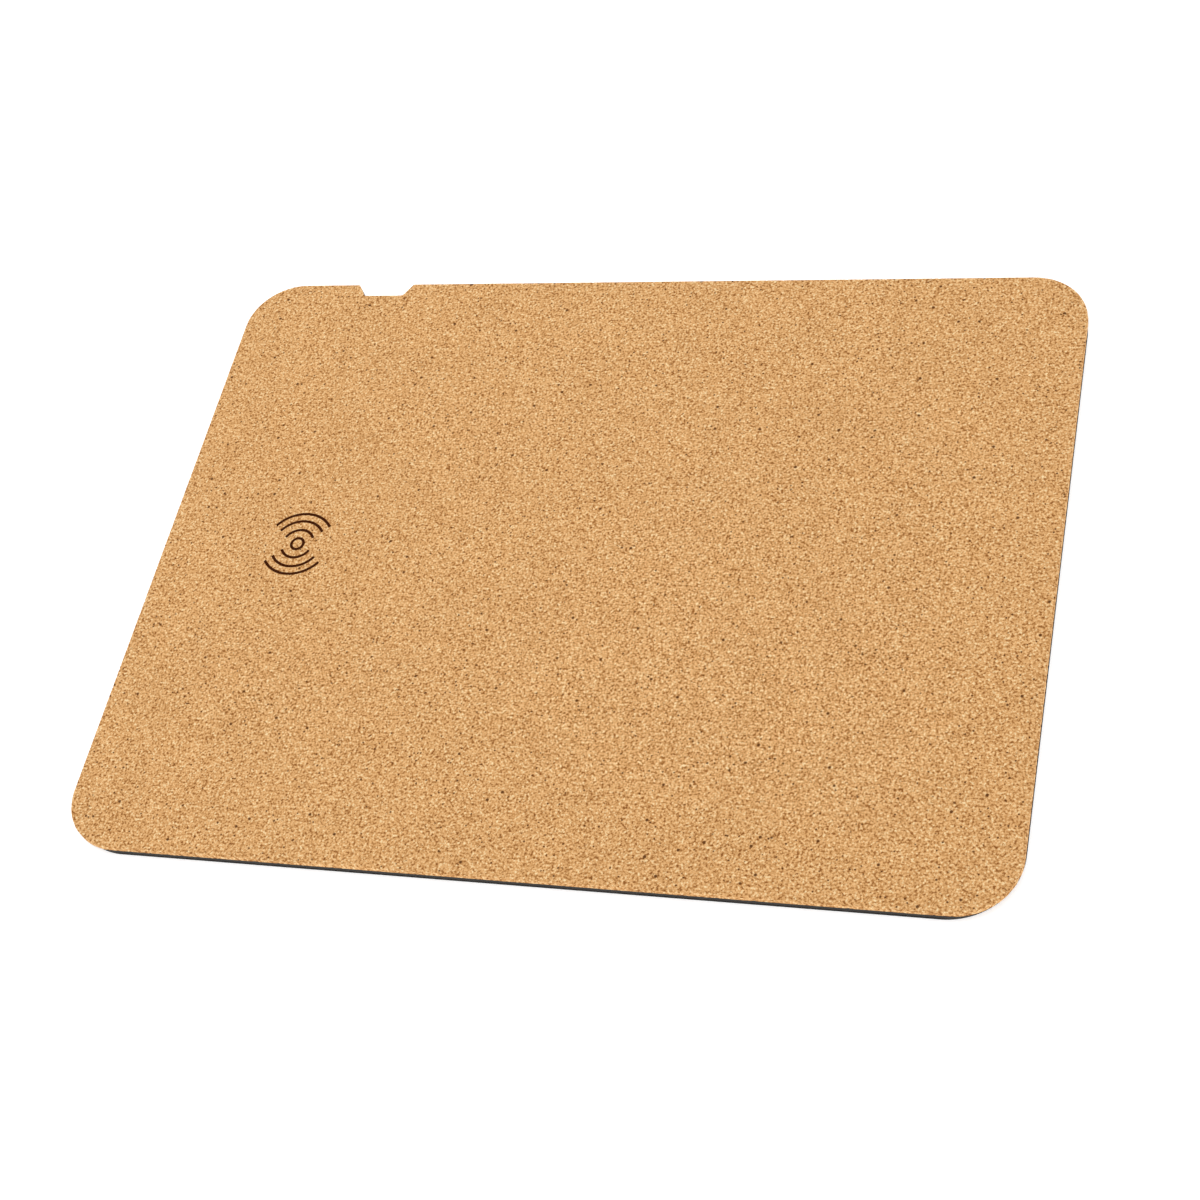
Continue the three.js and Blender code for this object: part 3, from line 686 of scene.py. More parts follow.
@dataclass(frozen=True)
class CorkFinish(Finish):
    """Fine agglomerated cork: pressed granules of mixed tans and browns with darker joints between them,
    which are partly the binder and partly painted shade at the granules' rims, fine and bold flecks of dark
    bark, and pale ones. Sizes are millimetres, and a look says how a colour differs from the record's, as
    Slot.colour takes it."""

    name: str = "pressed_cork"
    slot: Slot = Slot.CORK
    granule: float = 0.7
    ripple: float = 0.73
    ripple_span: tuple[float, float] = (0.32, 0.68)
    ripple_share: float = 0.66
    seam: float = 0.12
    seam_and_painted_rim_shade: float = 0.25
    warp_size: float = 0.6
    warp_reach: float = 0.4
    bark_spacing: float = 1.3
    bark_share: float = 0.11
    bark_reach: float = 0.25
    bold_spacing: float = 3.0
    bold_share: float = 0.1
    bold_reach: float = 0.17
    pale_spacing: float = 0.95
    pale_share: float = 0.2
    pale_reach: float = 0.3
    fleck_edge: tuple[float, float] = (0.7, 1.3)
    bark_cover: float = 0.95
    bark_look: tuple[float, float] = (0.24, 1.9)
    pale_cover: float = 0.75
    pale_look: tuple[float, float] = (1.42, 0.72)
    granule_tones: tuple[Tone, ...] = (
        Tone(0.04, 0.57, 1.75),
        Tone(0.22, 0.88, 1.3),
        Tone(0.42, 1.09, 1.06),
        Tone(0.6, 1.18, 1.02),
        Tone(0.78, 1.29, 0.9),
        Tone(0.96, 1.42, 0.66),
    )
    mottle_size: float = 14.0
    mottle: float = 0.015
    roughness: tuple[float, float] = (0.95, 0.8)
    relief: float = 0.06
    ground: float = 0.5
    gloss: float = 0.12

    def warped_place(self, graph: Graph) -> Socket:
        """Gives the place in millimetres, drawn about so that the granules aren't polygons.

        Args:
            graph: The material's tree.

        Returns:
            The place.
        """
        place = graph.place_in_mm()
        drift = graph.vector("SUBTRACT", graph.noise(place, self.warp_size).outputs["Color"], NOISE_MIDDLE)
        return graph.vector("ADD", place, graph.scaled(drift, self.warp_reach))

    def fleck_mask(self, graph: Graph, place: Socket, spacing: float, share: float, reach: float) -> Socket:
        """Gives 1 on scattered flecks and 0 elsewhere.

        Args:
            graph: The material's tree.
            place: The place in millimetres.
            spacing: How far apart they could be at most.
            share: How many of the places hold one.
            reach: A fleck's radius as a share of the spacing.

        Returns:
            The mask.
        """
        cells = graph.cells(place, spacing)
        chosen = graph.math("LESS_THAN", graph.channel(cells.outputs["Color"], "Y"), share)
        edge = tuple(reach * part for part in self.fleck_edge)
        near = graph.fitted(cells.outputs["Distance"], edge, (1.0, 0.0))
        return graph.math("MULTIPLY", chosen, near)

    def tones(self, graph: Graph, place: Socket) -> tuple[Socket, Socket]:
        """Makes the granules, the dark joints between them, which are partly binder and partly painted shade
        at the granules' rims, and the flecks.

        Args:
            graph: The material's tree.
            place: The place in millimetres.

        Returns:
            The cork's colour and its height, from 0 to about 1.
        """
        granules = graph.cells(place, self.granule)
        ripple = graph.noise(place, self.ripple, 1.0).outputs["Fac"]
        swing = graph.fitted(ripple, self.ripple_span, (0.0, self.ripple_share))
        random_tone = graph.channel(granules.outputs["Color"], "X")
        own_tone = graph.math("MULTIPLY", random_tone, 1 - self.ripple_share)
        stops = [(tone.place, self.slot.colour(tone.share, tone.depth)) for tone in self.granule_tones]
        colour = graph.ramp(graph.math("ADD", swing, own_tone), stops)
        edge = graph.cells(place, self.granule, "DISTANCE_TO_EDGE").outputs["Distance"]
        seam = graph.fitted(edge, (0.0, self.seam), (1.0, 0.0))
        fine = self.fleck_mask(graph, place, self.bark_spacing, self.bark_share, self.bark_reach)
        bold = self.fleck_mask(graph, place, self.bold_spacing, self.bold_share, self.bold_reach)
        bark = graph.math("MAXIMUM", fine, bold)
        pale = self.fleck_mask(graph, place, self.pale_spacing, self.pale_share, self.pale_reach)
        paleness = graph.math("MULTIPLY", pale, self.pale_cover)
        colour = graph.mixed(paleness, colour, self.slot.colour(*self.pale_look))
        # Partly the binder's dark joints and partly painted shade at the granules' rims
        seam_and_painted_rim_darkening = graph.math("MULTIPLY", seam, self.seam_and_painted_rim_shade)
        dark = graph.math("MAXIMUM", graph.math("MULTIPLY", bark, self.bark_cover), seam_and_painted_rim_darkening)
        colour = graph.mixed(dark, colour, self.slot.colour(*self.bark_look))
        broad = graph.noise(place, self.mottle_size).outputs["Fac"]
        shade = graph.fitted(broad, NOISE_SPAN, (1 - self.mottle, 1 + self.mottle))
        colour = graph.scaled(colour, shade)
        raised = graph.math("ADD", ripple, self.ground)
        height = graph.math("SUBTRACT", raised, granules.outputs["Distance"])
        return colour, graph.math("SUBTRACT", height, dark)

    def tinted(self, graph: Graph, colour: Socket) -> Socket:
        """Gives the cork's colour as it is."""
        return colour

    def paint(self, graph: Graph, shader: bpy.types.Node) -> None:
        """Makes the granules and flecks, with the cork's dry gloss and its relief.

        Args:
            graph: The material's tree.
            shader: Its shader.
        """
        colour, height = self.tones(graph, self.warped_place(graph))
        graph.feed(shader, "Base Color", self.tinted(graph, colour))
        graph.feed(shader, "Roughness", graph.fitted(height, (0.0, 1.0), self.roughness))
        graph.feed(shader, "Specular IOR Level", self.gloss)
        bump = graph.add("ShaderNodeBump", {"Height": height, "Strength": 1.0, "Distance": self.relief * MM})
        graph.feed(shader, "Normal", bump.outputs["Normal"])


@dataclass(frozen=True)
class MarkFinish(CorkFinish):
    """The cork where the charging mark has darkened it: its granules show through the brown."""

    name: str = "darkened_cork"
    gloss: float = 0.0
    ink: Colour = (0.042, 0.0055, 0.0005, 1.0)
    show_through: float = 0.02

    def tinted(self, graph: Graph, colour: Socket) -> Socket:
        """Lays the brown over the cork's colour."""
        return graph.mixed(self.show_through, self.ink, colour)


CORE_BOARD = PlainFinish(
    "dense_board", Slot.CORE, Grain.CLOUDS, 0.25, 0.25, (0.75, 0.9), 0.03, gloss=0.15, stretch=(1, 1, 4)
)
RUBBER = PlainFinish(
    "black_rubber", Slot.BASE, Grain.CELLS, 0.2, 0.2, (0.7, 0.85), 0.02, gloss=0.25, sheen=0.05
)
FILM = PlainFinish("glue_film", Slot.FILM, Grain.CLOUDS, 1.5, 0.15, (0.3, 0.5), 0.005, transmission=0.3)
STEEL = PlainFinish(
    "drawn_steel", Slot.STEEL, Grain.BRUSHED, 0.12, 0.08, (0.22, 0.38), 0.003, metallic=1.0, stretch=(6, 1, 6)
)
GOLD = PlainFinish("plated_gold", Slot.GOLD, Grain.CLOUDS, 0.15, 0.08, (0.18, 0.3), 0.002, metallic=1.0)
PLASTIC = PlainFinish("moulded_black", Slot.PLASTIC, Grain.CELLS, 0.08, 0.15, (0.4, 0.55), 0.004)
FERRITE = PlainFinish("sintered_ferrite", Slot.FERRITE, Grain.CLOUDS, 0.3, 0.25, (0.5, 0.7), 0.01)
FOAM = PlainFinish("open_foam", Slot.FOAM, Grain.CELLS, 0.25, 0.3, (0.9, 1.0), 0.08)
TAPE = PlainFinish(
    "amber_tape_film", Slot.TAPE, Grain.CLOUDS, 2.0, 0.1, (0.15, 0.3), 0.01, coat=0.5, transmission=0.4
)
BOARD = BoardFinish("green_mask", Slot.BOARD, Grain.CLOUDS, 1.5, 0.4, (0.3, 0.45), 0.02, coat=0.3)
CHOKE = PlainFinish("pressed_choke", Slot.CHOKE, Grain.CLOUDS, 0.2, 0.2, (0.55, 0.75), 0.01)
CERAMIC = PlainFinish("fired_ceramic", Slot.CERAMIC, Grain.CLOUDS, 0.2, 0.12, (0.4, 0.6), 0.004)
SOLDER = PlainFinish("bright_solder", Slot.SOLDER, Grain.CLOUDS, 0.3, 0.1, (0.15, 0.35), 0.006, metallic=1.0)
COPPER = PlainFinish(
    "enamelled_copper", Slot.COPPER, Grain.BRUSHED, 0.1, 0.3, (0.25, 0.4), 0.02, metallic=0.9, coat=0.4
)


# How wide the corners of the board and the films are eased, in millimetres
BOARD_BEVEL = 0.06
FILM_BEVEL = 0.01

# How wide the corners of the pieces in each of these finishes are eased, in millimetres
INNER_BEVELS = {
    FERRITE: 0.05,
    PLASTIC: 0.05,
    FOAM: 0.1,
    BOARD: 0.05,
    CHOKE: 0.15,
    CERAMIC: 0.04,
    SOLDER: 0.0,
    STEEL: 0.06,
    GOLD: 0.03,
}


@dataclass(frozen=True)
class PadOutline:
    """A sheet's outline: a rounded rectangle with the plug notch in its back edge."""

    corner_radius: float = 19.0
    inset: float = 0.0
    notch_from_left: float = 50.4
    notch_mouth: float = 21.0
    notch_floor: float = 15.0
    notch_depth: float = 5.1
    notch_mouth_radius: float = 0.9
    notch_inner_radius: float = 1.8
    fewest_steps: int = 4

    def corners(self) -> list[tuple[Vector, float]]:
        """Works the outline's corners out from the core sheet's sides.

        Returns:
            The corners before they are rounded, anticlockwise, each with its radius, all in metres.
        """
        low, high = box_of("core_sheet")
        middle = low.x + self.notch_from_left * MM
        floor = high.y - self.notch_depth * MM
        half_floor = self.notch_floor * MM / 2
        opening = (self.notch_mouth - self.notch_floor) * MM / 2
        half_mouth = half_floor + opening * (1 - self.inset / self.notch_depth)
        edge = Vector((self.inset, self.inset, 0.0)) * MM
        low, high = low + edge, high - edge
        full = self.corner_radius * MM
        mouth = self.notch_mouth_radius * MM
        inner = self.notch_inner_radius * MM
        return [
            (Vector((low.x, low.y)), full),
            (Vector((high.x, low.y)), full),
            (Vector((high.x, high.y)), full),
            (Vector((middle + half_mouth, high.y)), mouth),
            (Vector((middle + half_floor, floor)), inner),
            (Vector((middle - half_floor, floor)), inner),
            (Vector((middle - half_mouth, high.y)), mouth),
            (Vector((low.x, high.y)), full),
        ]

    def path(self, step: float) -> list[tuple[Vector, Vector]]:
        """Walks round the outline.

        Args:
            step: The wanted distance between points, in millimetres.

        Returns:
            Points in metres, each with the direction that points straight out of the pad there.
        """
        corners = self.corners()
        arcs = []
        for i, (corner, radius) in enumerate(corners):
            arriving = (corner - corners[i - 1][0]).normalized()
            leaving = (corners[(i + 1) % len(corners)][0] - corner).normalized()
            turn = math.atan2(arriving.cross(leaving), arriving.dot(leaving))
            side = math.copysign(1.0, turn)
            inwards = Vector((-arriving.y, arriving.x)) * side
            centre = corner - arriving * radius * math.tan(abs(turn) / 2) + inwards * radius
            count = max(self.fewest_steps, round(abs(turn) * radius / (step * MM)))
            spokes = [Matrix.Rotation(turn * k / count, 2) @ -inwards for k in range(count + 1)]
            arcs.append([(centre + spoke * radius, spoke * side) for spoke in spokes])
        walked = []
        for i, arc in enumerate(arcs):
            walked += arc
            start, out = arc[-1]
            end = arcs[(i + 1) % len(arcs)][0][0]
            count = max(1, round((end - start).length / (step * MM)))
            walked += [(start.lerp(end, k / count), out) for k in range(1, count)]
        return walked

    def drawn_in(self, place: Vector) -> Vector:
        """Moves a place that lies outside the rounded rectangle to its edge.

        Args:
            place: A flat place, in metres.

        Returns:
            The nearest place on or inside the rounded rectangle.
        """
        low, high = (corner.xy for corner in box_of("core_sheet"))
        middle = (low + high) / 2
        radius = self.corner_radius * MM
        limit = (high - low) / 2 - Vector((self.inset, self.inset)) * MM
        side = place - middle
        reach = Vector(min(abs(way), most) for way, most in zip(side, limit))
        beyond = reach - limit + Vector((radius, radius))
        if min(beyond) > 0 and beyond.length > radius:
            reach += beyond * (radius / beyond.length - 1)
        return middle + Vector(math.copysign(length, way) for length, way in zip(reach, side))

    def holds(self, x: float, y: float, margin: float) -> bool:
        """Says whether a point lies inside the outline and clear of it.

        Args:
            x: The point's distance to the right, in metres.
            y: Its distance to the back, in metres.
            margin: How far it has to be from the outline, in millimetres.

        Returns:
            True where it does.
        """
        low, high = box_of("core_sheet")
        middle, half = (low + high) / 2, (high - low) / 2
        radius = self.corner_radius * MM
        reach = Vector((abs(x - middle.x) - half.x + radius, abs(y - middle.y) - half.y + radius))
        outside = Vector((max(reach.x, 0.0), max(reach.y, 0.0))).length + min(max(reach), 0.0) - radius
        notch_x = abs(x - low.x - self.notch_from_left * MM) - self.notch_mouth * MM / 2
        in_notch = notch_x < margin * MM and y > high.y - (self.notch_depth + margin) * MM
        return outside < -margin * MM and not in_notch


# The dark layers are cut a little smaller than the cork, with rounder corners
DARK_LAYERS = PadOutline(corner_radius=21.5, inset=0.15)


@dataclass(frozen=True)
class CorkTop:
    """The cork sheet, with its granular cut edge and rounded upper edge."""

    outline: PadOutline
    finish: CorkFinish
    edge_radius: float = 0.4
    edge_step: float = 0.45
    wall_levels: int = 4
    edge_levels: int = 3
    border: float = 0.8
    top_step: float = 1.7
    granule: float = 1.0
    granule_relief: float = 0.06
    granule_middle: float = 0.25
    pit_depth: float = 0.18
    pit_share: float = 0.2
    pit_edge: tuple[float, float] = (0.2, 0.6)
    swell_size: float = 9.0
    swell_height: float = 0.02
    face_share: float = 0.3
    relief_margin: float = 0.6
    way_clearance: float = 0.15
    lid_clearance: float = 0.05
    overrun: float = 1.0

    def levels(self) -> list[tuple[float, float, float]]:
        """Works out the rings of the edge, from the underside up.

        Returns:
            Each ring's inset and height in metres, and how much of its relief is level.
        """
        low, high = box_of("cork_sheet")
        radius = self.edge_radius * MM
        shoulder = high.z - radius
        rings = [
            (0.0, low.z + (shoulder - low.z) * k / self.wall_levels, 1.0) for k in range(self.wall_levels + 1)
        ]
        for k in range(1, self.edge_levels + 1):
            angle = math.pi / 2 * k / self.edge_levels
            inset = radius * (1 - math.cos(angle))
            rings.append((inset, shoulder + radius * math.sin(angle), math.cos(angle)))
        rings.append((self.border * MM, high.z, 0.0))
        return rings

    def sheet(self) -> bpy.types.Mesh:
        """Makes the sheet smooth, with a direction on each point that its relief follows.

        Returns:
            The closed mesh, with that direction as its attribute relief.
        """
        walked = self.outline.path(self.edge_step)
        levels = self.levels()
        count = len(walked)
        points, ways, faces = [], [], []
        for inset, z, level in levels:
            for place, out in walked:
                points.append((place - out * inset).to_3d() + Vector((0, 0, z)))
                ways.append((out * level).to_3d() + Vector((0, 0, 1 - level)))
        for ring in range(len(levels) - 1):
            for i in range(count):
                a, b = ring * count + i, ring * count + (i + 1) % count
                faces.append((a, b, b + count, a + count))
        last = (len(levels) - 1) * count
        inner = self.grid()
        points += [Vector((x, y, points[last].z)) for x, y in inner]
        ways += [Vector((0, 0, self.face_share))] * len(inner)
        rim = [points[last + i].xy for i in range(count)]
        loop = [(i, (i + 1) % count) for i in range(count)]
        for triangle in triangles_inside(rim + [Vector(p) for p in inner], loop):
            faces.append(tuple(i + last for i in triangle))
        for triangle in triangles_inside([points[i].xy for i in range(count)], loop):
            faces.append(tuple(reversed(triangle)))
        mesh = mesh_of(points, faces)
        relief = mesh.attributes.new("relief", "FLOAT_VECTOR", "POINT")
        relief.data.foreach_set("vector", [number for way in ways for number in way])
        return mesh

    def grid(self) -> list[tuple[float, float]]:
        """Spaces places evenly inside the border, in staggered rows.

        Returns:
            The places, in metres.
        """
        low, high = box_of("cork_sheet")
        step = self.top_step * MM
        row_step = step * ROW_SHARE
        margin = self.border + self.top_step / 2
        rows = int((high.y - low.y) / row_step)
        columns = int((high.x - low.x) / step)
        places = [
            (low.x + (column + row % 2 / 2) * step, low.y + row * row_step)
            for row in range(rows + 1)
            for column in range(columns + 1)
        ]
        return [place for place in places if self.outline.holds(*place, margin)]

    def granular(self, sheet: bpy.types.Mesh) -> bpy.types.Mesh:
        """Gives the sheet its relief: rounded granules and small pits where it was cut, and a slight
        swell over its face.

        Args:
            sheet: The smooth sheet.

        Returns:
            The sheet with its relief, as a new mesh.
        """
        tree = GeometryTree("cork_relief")
        granule = tree.size("Granule", self.granule * MM)
        relief = tree.size("Granule Relief", self.granule_relief * MM)
        pit = tree.size("Pit Depth", self.pit_depth * MM)
        swell_size = tree.size("Swell Size", self.swell_size * MM)
        swell = tree.size("Swell Height", self.swell_height * MM)
        place = tree.position()
        stored = {"Name": "relief"}
        way = tree.add("GeometryNodeInputNamedAttribute", stored, data_type="FLOAT_VECTOR").outputs[0]
        scale = tree.math("DIVIDE", 1.0, granule)
        cells = tree.add("ShaderNodeTexVoronoi", {"Vector": place, "Scale": scale})
        distance = cells.outputs["Distance"]
        bulge = tree.math("MULTIPLY", tree.math("SUBTRACT", self.granule_middle, distance), relief)
        chosen = tree.math("GREATER_THAN", tree.channel(cells.outputs["Color"], "X"), 1 - self.pit_share)
        deep = tree.math("MULTIPLY", tree.fitted(distance, self.pit_edge, (1.0, 0.0)), chosen)
        height = tree.math("SUBTRACT", bulge, tree.math("MULTIPLY", deep, pit))
        broad_scale = tree.math("DIVIDE", 1.0, swell_size)
        broad = tree.add("ShaderNodeTexNoise", {"Vector": place, "Scale": broad_scale})
        lift = tree.math("MULTIPLY", tree.math("SUBTRACT", broad.outputs["Fac"], NOISE_MIDDLE[0]), swell)
        offset = tree.scaled(way, tree.math("ADD", height, lift))
        return tree.grown(sheet, tree.displaced(tree.inlet.outputs[0], offset), self.finish)

    def charger_room(self) -> list[tuple[Vector, Vector]]:
        """Works out what the underside leaves free for the board and the socket.

        Returns:
            The lowest and highest corners of each box, in metres.
        """
        below = Vector((0, 0, box_of("cork_sheet")[0].z - self.overrun * MM))
        lid = max(box_of("socket_shell")[1].z, box_of("choke")[1].z) + self.lid_clearance * MM
        board_low, board_high = box_of("circuit_board")
        margin = Vector((self.relief_margin * MM, self.relief_margin * MM, 0))
        pocket_low = board_low - margin
        pocket_high = board_high + margin
        pocket_low.z, pocket_high.z = below.z, lid
        mouth_low, mouth_high = mouth_of("socket_shell")
        clearance = self.way_clearance * MM
        way_low = Vector((mouth_low.x - clearance, board_high.y - self.overrun * MM, below.z))
        way_high = Vector((mouth_high.x + clearance, mouth_high.y + self.overrun * MM, lid))
        return [(pocket_low, pocket_high), (way_low, way_high)]

    def build(self) -> None:
        """Makes the piece."""
        mesh = with_boxes_cut(self.granular(self.sheet()), self.charger_room())
        set_out("cork_top", smoothed(mesh), self.finish, "cork_sheet")


@dataclass(frozen=True)
class Wave:
    """One of the mark's arcs, drawn in front of the ring and again behind it. Its half span is in degrees."""

    radius: float
    half_span: float


@dataclass(frozen=True)
class ChargingMark:
    """The mark over the coil: a ring with arcs in front of it and behind it."""

    finish: MarkFinish
    ring_radius: float = 2.17
    line_width: float = 0.96
    line_height: float = 0.07
    waves: tuple[Wave, ...] = (Wave(5.55, 63.5), Wave(9.13, 56.7), Wave(12.13, 54.0))
    bleed_size: float = 0.5
    bleed: float = 0.06
    steps: int = 64

    def build(self) -> None:
        """Sweeps the lines."""
        centre = coil_centre().to_3d() + Vector((0, 0, box_of("cork_sheet")[1].z))
        tree = GeometryTree("charging_mark")
        width = tree.size("Line Width", self.line_width * MM)
        height = tree.size("Line Height", self.line_height * MM)
        ring_radius = tree.size("Ring Radius", self.ring_radius * MM)
        bleed_size = tree.size("Bleed Size", self.bleed_size * MM)
        bleed = tree.size("Bleed", self.bleed * MM)
        steps = tree.size("Steps", self.steps)
        ring = tree.add("GeometryNodeCurvePrimitiveCircle", {"Resolution": steps, "Radius": ring_radius})
        lines = [ring.outputs[0]]
        for number, wave in enumerate(self.waves, start=1):
            radius = tree.size(f"Wave {number} Radius", wave.radius * MM)
            half = tree.size(f"Wave {number} Half Span", math.radians(wave.half_span))
            for middle in (math.pi / 2, -math.pi / 2):
                inputs = {
                    "Resolution": steps,
                    "Radius": radius,
                    "Start Angle": tree.math("SUBTRACT", middle, half),
                    "Sweep Angle": tree.math("MULTIPLY", half, 2.0),
                }
                lines.append(tree.add("GeometryNodeCurveArc", inputs, mode="RADIUS").outputs[0])
        profile = tree.add("GeometryNodeCurvePrimitiveQuadrilateral", {"Width": width, "Height": height})
        swept = tree.add(
            "GeometryNodeCurveToMesh",
            {"Curve": tree.joined(*lines), "Profile Curve": profile.outputs[0], "Fill Caps": True},
        )
        place = tree.position()
        scale = tree.math("DIVIDE", 1.0, bleed_size)
        spread = tree.add("ShaderNodeTexNoise", {"Vector": place, "Scale": scale})
        drift = tree.vector("SUBTRACT", spread.outputs["Color"], NOISE_MIDDLE)
        level = tree.scaled(tree.vector("MULTIPLY", drift, (1.0, 1.0, 0.0)), bleed)
        placed = tree.shifted(tree.displaced(swept.outputs[0], level), tuple(centre))
        mesh = tree.grown(bpy.data.meshes.new("start"), placed, self.finish)
        set_out("charging_mark", smoothed(outwards(mesh)), self.finish)


@dataclass(frozen=True)
class BasePad:
    """The rubber sheet that the pad stands on, with low studs on its underside."""

    outline: PadOutline
    finish: PlainFinish
    edge_step: float = 1.2
    stud_pitch: float = 3.0
    stud_height: float = 0.14
    stud_top: float = 0.95
    stud_foot: float = 1.3
    stud_sides: int = 4
    margin: float = 2.4
    sunk: float = 0.02

    def sheet(self) -> bpy.types.Mesh:
        """Makes the sheet above the studs.

        Returns:
            The closed mesh.
        """
        low, high = box_of("base_sheet")
        walked = self.outline.path(self.edge_step)
        count = len(walked)
        heights = (low.z + self.stud_height * MM, high.z)
        points = [place.to_3d() + Vector((0, 0, z)) for z in heights for place, _ in walked]
        faces = [(i, (i + 1) % count, (i + 1) % count + count, i + count) for i in range(count)]
        loop = [(i, (i + 1) % count) for i in range(count)]
        for triangle in triangles_inside([place for place, _ in walked], loop):
            faces.append(tuple(reversed(triangle)))
            faces.append(tuple(i + count for i in triangle))
        return mesh_of(points, faces)

    def build(self) -> None:
        """Grows the studs on the sheet's underside."""
        low, high = box_of("base_sheet")
        middle = (low + high) / 2
        tree = GeometryTree("base_studs")
        stud = tree.add(
            "GeometryNodeMeshCone",
            {
                "Vertices": tree.size("Stud Sides", self.stud_sides),
                "Radius Top": tree.size("Stud Foot", self.stud_foot * MM),
                "Radius Bottom": tree.size("Stud Top", self.stud_top * MM),
                "Depth": tree.size("Stud Height", (self.stud_height + self.sunk) * MM),
            },
        )
        inputs = {"Points": self.places(tree, high - low), "Instance": stud.outputs[0]}
        studs = tree.add("GeometryNodeInstanceOnPoints", inputs).outputs[0]
        whole = tree.joined(tree.shifted(studs, (middle.x, middle.y, low.z)), tree.inlet.outputs[0])
        mesh = tree.grown(self.sheet(), whole, self.finish)
        set_out("base_pad", smoothed(mesh), self.finish, "base_sheet")

    def places(self, tree: GeometryTree, size: Vector) -> Socket:
        """Sets out points in staggered rows wherever the outline holds them.

        Args:
            tree: The tree that grows the studs.
            size: The sheet's size, in metres.

        Returns:
            The points about the sheet's middle.
        """
        pitch = tree.size("Stud Pitch", self.stud_pitch * MM)
        row_pitch = tree.math("MULTIPLY", pitch, ROW_SHARE)
        across = tree.math("CEIL", tree.math("DIVIDE", size.x, pitch))
        rows = tree.math("CEIL", tree.math("DIVIDE", size.y, row_pitch))
        grid = tree.add(
            "GeometryNodeMeshGrid",
            {
                "Size X": tree.math("MULTIPLY", tree.math("SUBTRACT", across, 1.0), pitch),
                "Size Y": tree.math("MULTIPLY", tree.math("SUBTRACT", rows, 1.0), row_pitch),
                "Vertices X": across,
                "Vertices Y": rows,
            },
        )
        row = tree.math("ROUND", tree.math("DIVIDE", tree.channel(tree.position(), "Y"), row_pitch))
        shift = tree.math("MULTIPLY", tree.math("FLOORED_MODULO", row, 2.0), tree.math("DIVIDE", pitch, 2.0))
        offset = tree.add("ShaderNodeCombineXYZ", {"X": shift}).outputs[0]
        staggered = tree.displaced(grid.outputs[0], offset)
        margin = tree.size("Margin", self.margin * MM)
        inputs = {"Geometry": staggered, "Selection": self.outside(tree, margin, size)}
        return tree.add("GeometryNodeDeleteGeometry", inputs, domain="POINT").outputs[0]

    def outside(self, tree: GeometryTree, margin: Socket, size: Vector) -> Socket:
        """Gives true for the points that lie outside the outline or in the notch.

        Args:
            tree: The tree that grows the studs.
            margin: The least distance from a stud's middle to the outline.
            size: The sheet's size, in metres.

        Returns:
            A boolean for each point.
        """
        radius = tree.size("Corner Radius", self.outline.corner_radius * MM)
        mouth = tree.size("Notch Mouth", self.outline.notch_mouth * MM)
        depth = tree.size("Notch Depth", self.outline.notch_depth * MM)
        from_left = tree.size("Notch From Left", self.outline.notch_from_left * MM)
        place = tree.position()
        rounding = tree.add("ShaderNodeCombineXYZ", {"X": radius, "Y": radius}).outputs[0]
        half = tree.vector("SUBTRACT", (size.x / 2, size.y / 2, 0.0), rounding)
        reach = tree.vector("SUBTRACT", tree.vector("ABSOLUTE", place), half)
        beyond = tree.length(tree.vector("MAXIMUM", reach, (0.0, 0.0, 0.0)))
        past_edge = tree.math("GREATER_THAN", beyond, tree.math("SUBTRACT", radius, margin))
        notch_x = tree.math("SUBTRACT", from_left, size.x / 2)
        aside = tree.math("ABSOLUTE", tree.math("SUBTRACT", tree.channel(place, "X"), notch_x))
        half_notch = tree.math("ADD", margin, tree.math("DIVIDE", mouth, 2.0))
        notch_y = tree.math("SUBTRACT", tree.math("SUBTRACT", size.y / 2, depth), margin)
        in_notch = tree.math(
            "MULTIPLY",
            tree.math("LESS_THAN", aside, half_notch),
            tree.math("GREATER_THAN", tree.channel(place, "Y"), notch_y),
        )
        return tree.math("MAXIMUM", past_edge, in_notch)


@dataclass(frozen=True)
class EasedPart:
    """A rigid piece that keeps its node's shape, with eased corners, or with another outline."""

    node: str
    name: str
    finish: Finish
    bevel: float
    outline: PadOutline | None = None

    def build(self) -> bpy.types.Object:
        """Makes the piece."""
        mesh = eased_copy(self.node, self.bevel, self.outline)
        return set_out(self.name, mesh, self.finish, self.node)


